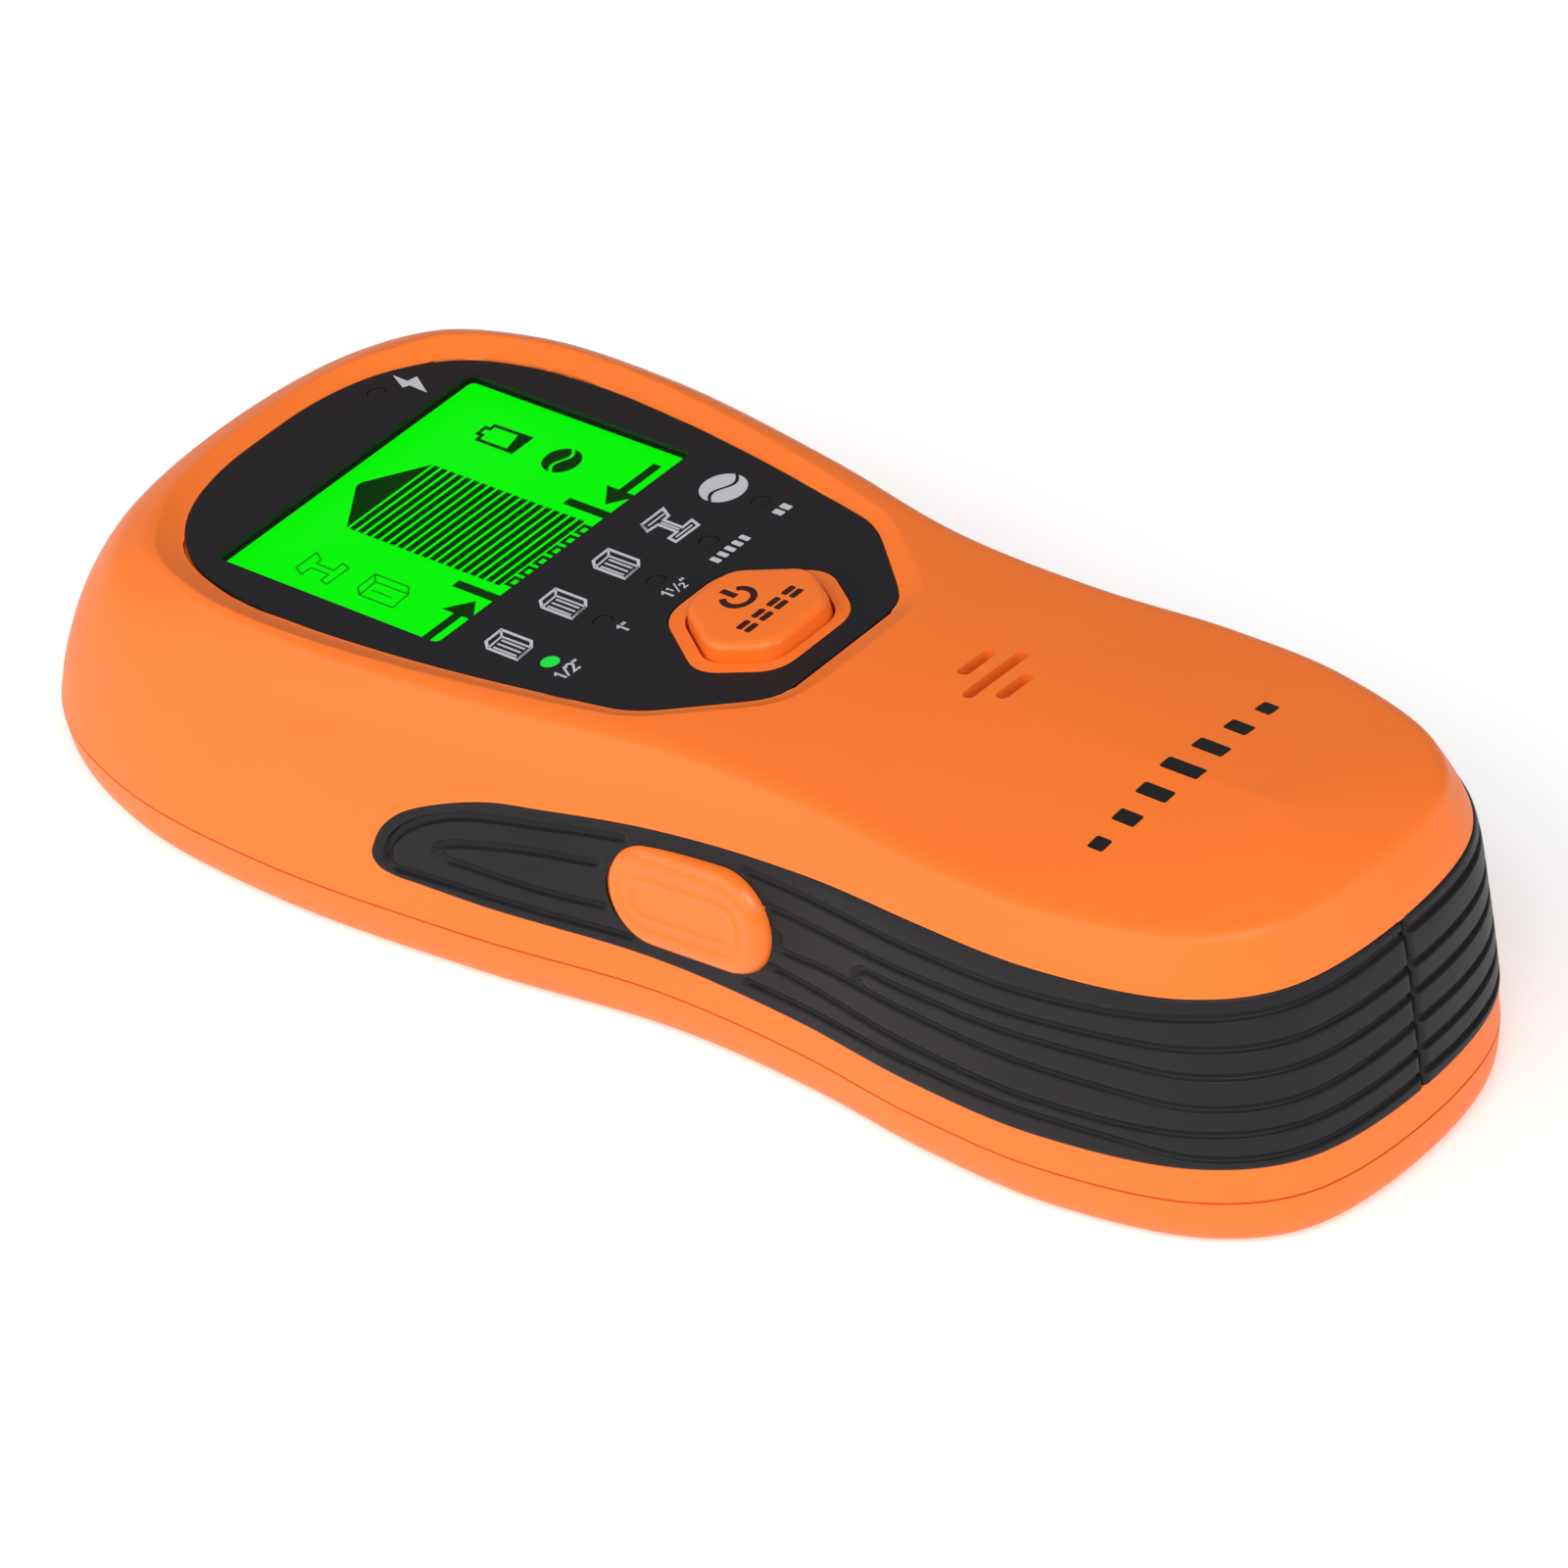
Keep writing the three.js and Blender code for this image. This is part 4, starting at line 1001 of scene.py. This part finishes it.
def panel_print():
    marks = []
    for x in ICON_COLUMNS:
        marks += strokes(shifted(scaled([BOX_RIM + [BOX_RIM[1]]], ICON_SIZE), x, ICON_ROW), 0.34)
        marks += strokes(shifted(scaled(BOX_INNER, ICON_SIZE), x, ICON_ROW), 0.24)
        marks += strokes(shifted(scaled(BOX_GRAIN, ICON_SIZE), x, ICON_ROW), 0.24)
    marks += strokes(shifted([BEAM_RIM], *BEAM_PLACE), 0.34)
    marks += strokes(shifted(BEAM_INNER, *BEAM_PLACE), 0.24)
    marks += [ring_half(*WAVE_PLACE, 2.5, 0.62, side) for side in (1, -1)]
    marks.append(BOLT)
    labels = [
        (DIGIT_ONE, -16.75, 0, 1, 0.27), (SLASH, -16.0, 0, 1, 0.22), (DIGIT_TWO, -15.15, 0, 1, 0.27),
        (INCH, -14.3, 0, 1, 0.22), (DIGIT_ONE, -7.7, 0, 1, 0.27), (INCH, -7.15, 0, 1, 0.22),
        (DIGIT_ONE, -1.15, 0, 1, 0.27), (DIGIT_ONE, -0.5, 0.3, 0.6, 0.17), (SLASH, 0.08, 0, 0.95, 0.15),
        (DIGIT_TWO, 0.72, -0.32, 0.6, 0.17), (INCH, 1.4, 0, 1, 0.2),
    ]
    for lines, x, y, size, width in labels:
        marks += strokes(shifted(scaled(lines, size), x, LABEL_ROW + y), width)
    for x in np.linspace(5.6, 9.9, 5):
        marks.append(rounded_rectangle(0.62, 1.3, 0.15, x, LABEL_ROW - 0.25, 3))
    for x in (14.95, 16.05):
        marks.append(rounded_rectangle(0.75, 1.3, 0.15, x, LABEL_ROW - 0.25, 3))
    body = slab("panel_print", marks, PANEL_TOP - 0.01, PANEL_TOP + 0.025)
    return piece(body, PRINT_GREY, "case")


panel_print()

LCD_LOW, LCD_HIGH = LCD_TOP - 0.02, LCD_TOP + 0.03
LCD_SHIFT = (0.26, 0.27)
LCD_CENTRE = -1.1
STRIPE_HALF = 6.3


def lcd_segments():
    c, half = LCD_CENTRE, STRIPE_HALF
    marks = [[(c - half, 49.75), (c + half, 49.75), (c + 0.35, 54.2), (c - 0.35, 54.2)]]
    for k in range(19):
        v = 49.05 - k * 1.135
        marks.append([(c - half, v - 0.4), (c + half, v - 0.4), (c + half, v + 0.32), (c - half, v + 0.32)])
    for side, tip in ((1, 8.5), (-1, -10.6)):
        barb, back = tip + side * 2.6, tip + side * 7.8
        marks.append([(tip, 28.4), (barb, 26.3), (barb, 27.85), (back, 27.85), (back, 28.95), (barb, 28.95),
                      (barb, 30.6)][::side])
        marks.append(stroke([(c + side * 8.15, 26.3), (c + side * 8.15, 32.5)], 1.1))
    for k in range(6):
        x = c - 5.1 + k * 2.04
        marks += strokes([[(x - 0.6, 24.8), (x - 0.6, 27.7), (x + 0.6, 27.7), (x + 0.6, 24.8)]], 0.42)
    marks += strokes([[(10.85, 43.8), (13.7, 43.8), (13.6, 48.85), (12.9, 48.85), (12.9, 49.5), (11.7, 49.5),
                       (11.7, 48.85), (10.85, 48.75), (10.85, 43.8), (13.7, 43.8)]], 0.42)
    marks.append([(11.0, 43.9), (13.6, 43.9), (13.5, 45.4), (11.0, 44.7)])
    marks += [ring_half(12.2, 38.0, 2.1, 0.5, side) for side in (1, -1)]
    body = slab("lcd_segments", marks, LCD_LOW, LCD_HIGH, LCD_SHIFT)
    return piece(body, SEGMENT, "case")


def lcd_faint():
    marks = strokes(shifted(scaled([BEAM_RIM], 0.95), -13.95, 46.9), 0.16)
    marks += strokes(shifted(scaled([BOX_RIM + [BOX_RIM[1]]] + BOX_INNER, 1.05), -13.8, 38.2), 0.16)
    marks += strokes(shifted([[(-0.5, -1.6), (-0.5, 1.2)]], -13.8, 38.2), 0.14)
    body = slab("lcd_faint_segments", marks, LCD_LOW, LCD_HIGH, LCD_SHIFT)
    return piece(body, SEGMENT_FAINT, "case")


lcd_segments()
lcd_faint()

# ---- lights


def light_pipes():
    for number, (x, y) in enumerate(LIGHT_PLACES, 1):
        rings = [level_ring(circle(x, y, LED_RADIUS), BOARD_TOP + 1.4)]
        for u in np.linspace(0, math.pi / 2, 5):
            inset = 0.3 * (1 - math.cos(u))
            rings.append(level_ring(circle(x, y, LED_RADIUS - inset), PANEL_TOP - 0.12 + 0.1 * math.sin(u)))
        name = f"light_pipe_{number}"
        body = shade(lofted(name, rings, DECK), 50)
        piece(body, LED_LIT if number == 1 else PIPE_DARK, "case", [name])


light_pipes()

# ---- buttons


STEM_RADIUS = 2
SIDE_FLANGE_LOW = -5
# The grip ring on the side button's face: how far in from its wall, and how high above its face.
SIDE_RING = [
    (2.15, 0.0), (2.4, -0.14), (2.75, -0.2), (3.1, -0.2), (3.4, -0.06), (3.6, 0.0), (3.8, -0.06), (4.1, -0.2),
    (4.6, -0.2), (5.15, -0.2),
]


def cap_rings(loop, low, high, fillet, draft):
    """Rings up a cap whose wall leans in by draft and whose top edge is rounded."""
    rings = [level_ring(loop, low)]
    wall = high - fillet - low
    for u in (0.5, 1.0):
        rings.append(level_ring(offset_loop(loop, -draft * u), low + wall * u))
    for a in np.linspace(0, math.pi / 2, 9)[1:]:
        inset = draft + fillet * (1 - math.cos(a))
        rings.append(level_ring(offset_loop(loop, -inset), high - fillet + fillet * math.sin(a)))
    return rings


def mode_button():
    low = DECK_UNDER - FIT
    cap = lofted("mode_button", cap_rings(hexagon(MODE_CAP_SCALE), low, MODE_PROUD, 0.9, 0.25), DECK)
    join(cap, prism("flange", hexagon(MODE_FLANGE_SCALE), low - 1, low + 0.02, DECK))
    join(cap, prism("stem", circle(0, MODE_CENTRE, STEM_RADIUS), low - 1.8, low - 0.5, DECK))
    shade(cap, 40)
    piece(cap, ORANGE_SMOOTH, "mode_key", ["mode_button"])
    x, y = 0.0, 1.6
    marks = strokes([arc_line(x, y, 1.55, 130, 410, 40), [(x, y + 0.3), (x, y + 2.3)]], 0.72)
    for k in range(4):
        marks.append(rounded_rectangle(1.6, 0.75, 0.25, -3.3 + 2.2 * k, -2.1, 4))
        marks.append(rounded_rectangle(1.6, 0.75, 0.25, -3.3 + 2.2 * k, -3.15, 4))
    sign = slab("mode_sign", marks, MODE_PROUD - 0.02, MODE_PROUD + 0.02)
    piece(sign, PRINT_BROWN, "mode_key")


mode_button()


def side_button():
    length, width, proud = SIDE_BUTTON["length"], SIDE_BUTTON["width"], SIDE_BUTTON["proud"]
    profile = [(0, FLANGE_TOP - 0.2)] + side_round(math.pi / 2)
    profile += [(reach, proud + height) for reach, height in SIDE_RING]
    rings = [level_ring(stadium(length - 2 * inset, width - 2 * inset), z) for inset, z in profile]
    cap = lofted("side_button", rings, SIDE)
    join(cap, prism("flange", stadium(length + 2, width + 2), SIDE_FLANGE_LOW, FLANGE_TOP, SIDE))
    join(cap, prism("stem", circle(0, 0, STEM_RADIUS), SIDE_FLANGE_LOW - 1, SIDE_FLANGE_LOW + 0.5, SIDE))
    shade(cap, 40)
    return piece(cap, ORANGE_SMOOTH, "side_key", ["side_button"])


side_button()

# ---- back of the object


def battery_door():
    body = boolean(solid_copy("battery_door"), prism("trim", door_outline(0, 6, 0.9), -1, 9), "INTERSECT")
    for k in range(6):
        y = DOOR["head"] - 6.5 - 1.6 * k
        half = 6 - 0.5 * k
        cut(body, prism("rib", rounded_rectangle(2 * half, 0.7, 0.3, 0, y, 3), -1, 0.35))
    rounded_edges(body, 0.12)
    shade(body, 20)
    weighted_normals(body)
    return piece(body, ORANGE, "door", ["battery_door"])


def case_screws():
    for number, (x, y) in enumerate(CASE_SCREWS, 1):
        name = f"case_screw_{number}"
        rings = []
        for radius, z in ((2.3, 1.0), (2.55, 1.12), (2.6, 1.3), (2.6, 2.6), (1.1, 2.6)):
            rings.append(level_ring(circle(x, y, radius), z))
        turns = 18
        for k in range(turns):
            z = 3.1 + k * 0.5
            rings.append(level_ring(circle(x, y, 0.85), z))
            rings.append(level_ring(circle(x, y, 1.12), z + 0.25))
        rings.append(level_ring(circle(x, y, 0.3), 12.45))
        body = lofted(name, rings)
        for a in (0, math.pi / 2):
            slot_loop = rounded_rectangle(2.6, 0.55, 0.12, 0, 0, 2)
            turned = np.column_stack([
                x + slot_loop[:, 0] * math.cos(a) - slot_loop[:, 1] * math.sin(a),
                y + slot_loop[:, 0] * math.sin(a) + slot_loop[:, 1] * math.cos(a),
            ])
            cut(body, prism("recess", turned, 0.5, 1.8))
        shade(body, 35)
        piece(body, STEEL, "case", [name])


battery_door()
case_screws()

# ---- printed bars on the handle


HANDLE_PRINT_Y = -55.6
BAR_PITCH = 4.1
BAR_HEIGHTS = [1.9, 2.8, 3.8, 4.7, 3.8, 2.8, 1.9]


def handle_print():
    """Plain bars in place of a printed word."""
    skin = upper_skin("print_skin", 0, -0.02)
    below = upper_skin("print_below", 0, 0.02)
    made = []
    for k, tall in enumerate(BAR_HEIGHTS):
        loop = rounded_rectangle(1.7, tall, 0.3, (k - 3) * BAR_PITCH, HANDLE_PRINT_Y, 3)
        made.append(prism("bar", loop, 30, 45))
    bars = joined_objects("handle_print", made)
    boolean(bars, skin, "INTERSECT")
    cut(bars, below)
    shade(bars, 40)
    return piece(bars, PRINT_BLACK, "case")


handle_print()

# ---- pieces carried over from the CAD

FINISH = {
    "main_board": BOARD, "sensor_board": BOARD, "crystal": STEEL, "battery": BATTERY, "battery_pad": FOAM,
    "battery_lead_red": LEAD_RED, "battery_lead_black": LEAD_BLACK, "buzzer_lead_red": LEAD_RED,
    "buzzer_lead_black": LEAD_BLACK,
    **dict.fromkeys((
        "contact_strip", "lcd_frame", "mode_switch", "mode_switch_plunger", "side_switch",
        "side_switch_plunger", "microcontroller", "capacitor_1", "capacitor_2", "buzzer", "board_link",
        "battery_snap",
    ), BLACK),
}
for name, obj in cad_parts.items():
    if obj.hide_render:
        continue
    material = FINISH.get(name)
    if material is None:
        material = STEEL if name.startswith("board_screw") else WHITE
    if not obj.data.materials:
        obj.data.materials.append(material)
    for slot in obj.material_slots:
        slot.material = material

# ---- floor, light and camera


def floor():
    work, tree, shader = new_material("floor")
    tree.links.new(colour_mix(tree, noise(tree, 3, 3), (0.86, 0.86, 0.86), (0.83, 0.83, 0.83)),
                   shader.inputs["Base Color"])
    tree.links.new(ramp(tree, noise(tree, 9, 3), 0.6, 0.7), shader.inputs["Roughness"])
    shader.inputs["Specular IOR Level"].default_value = 0.1
    shader.inputs["Emission Color"].default_value = (1, 1, 1, 1)
    shader.inputs["Emission Strength"].default_value = 0.33
    half = 3000
    corners = [(-half, -half, -0.05), (half, -half, -0.05), (half, half, -0.05), (-half, half, -0.05)]
    obj = mesh_object("floor", corners, [(0, 1, 2, 3)])
    obj.data.materials.append(work)


floor()

world = bpy.data.worlds.new("studio")
bpy.context.scene.world = world
world.use_nodes = True
world.node_tree.nodes["Background"].inputs["Color"].default_value = (1, 1, 1, 1)
world.node_tree.nodes["Background"].inputs["Strength"].default_value = 0.27


def softbox(name, place, target, size, power):
    light = bpy.data.lights.new(name, "AREA")
    light.shape = "RECTANGLE"
    light.size, light.size_y = size
    light.energy = power
    obj = bpy.data.objects.new(name, light)
    bpy.context.scene.collection.objects.link(obj)
    obj.location = place
    obj.rotation_euler = (Vector(target) - Vector(place)).to_track_quat("-Z", "Y").to_euler()
    return obj


MIDDLE = (0, 0, 0.015)
softbox("left_softbox", (-0.8, 0.35, 0.6), MIDDLE, (1.6, 0.8), 7.6)
softbox("front_softbox", (-0.55, -0.55, 0.95), MIDDLE, (0.6, 0.6), 7.4)
softbox("tail_softbox", (0.15, -0.95, 0.4), MIDDLE, (0.5, 0.5), 2.4)

CAMERA = {
    "azimuth": -43.541, "elevation": 38.361, "roll": 7.505, "distance": 963.06,
    "target": (-3.602, -5.036, 14.39), "lens": 225, "sensor": 36,
}


def camera():
    a, e, r = (math.radians(CAMERA[k]) for k in ("azimuth", "elevation", "roll"))
    back = Vector((math.sin(a) * math.cos(e), -math.cos(a) * math.cos(e), math.sin(e)))
    level_right = (-back).cross(Vector((0, 0, 1))).normalized()
    level_down = (-back).cross(level_right)
    right = level_right * math.cos(r) + level_down * math.sin(r)
    down = level_down * math.cos(r) - level_right * math.sin(r)
    data = bpy.data.cameras.new("camera")
    data.lens = CAMERA["lens"]
    data.sensor_width = CAMERA["sensor"]
    data.clip_start, data.clip_end = 0.01, 20
    obj = bpy.data.objects.new("camera", data)
    bpy.context.scene.collection.objects.link(obj)
    place = (Vector(CAMERA["target"]) + back * CAMERA["distance"]) * MM
    axes = Matrix((right, -down, back)).transposed().to_4x4()
    obj.matrix_world = Matrix.Translation(place) @ axes
    bpy.context.scene.camera = obj


camera()
bpy.context.scene.view_settings.view_transform = "Standard"
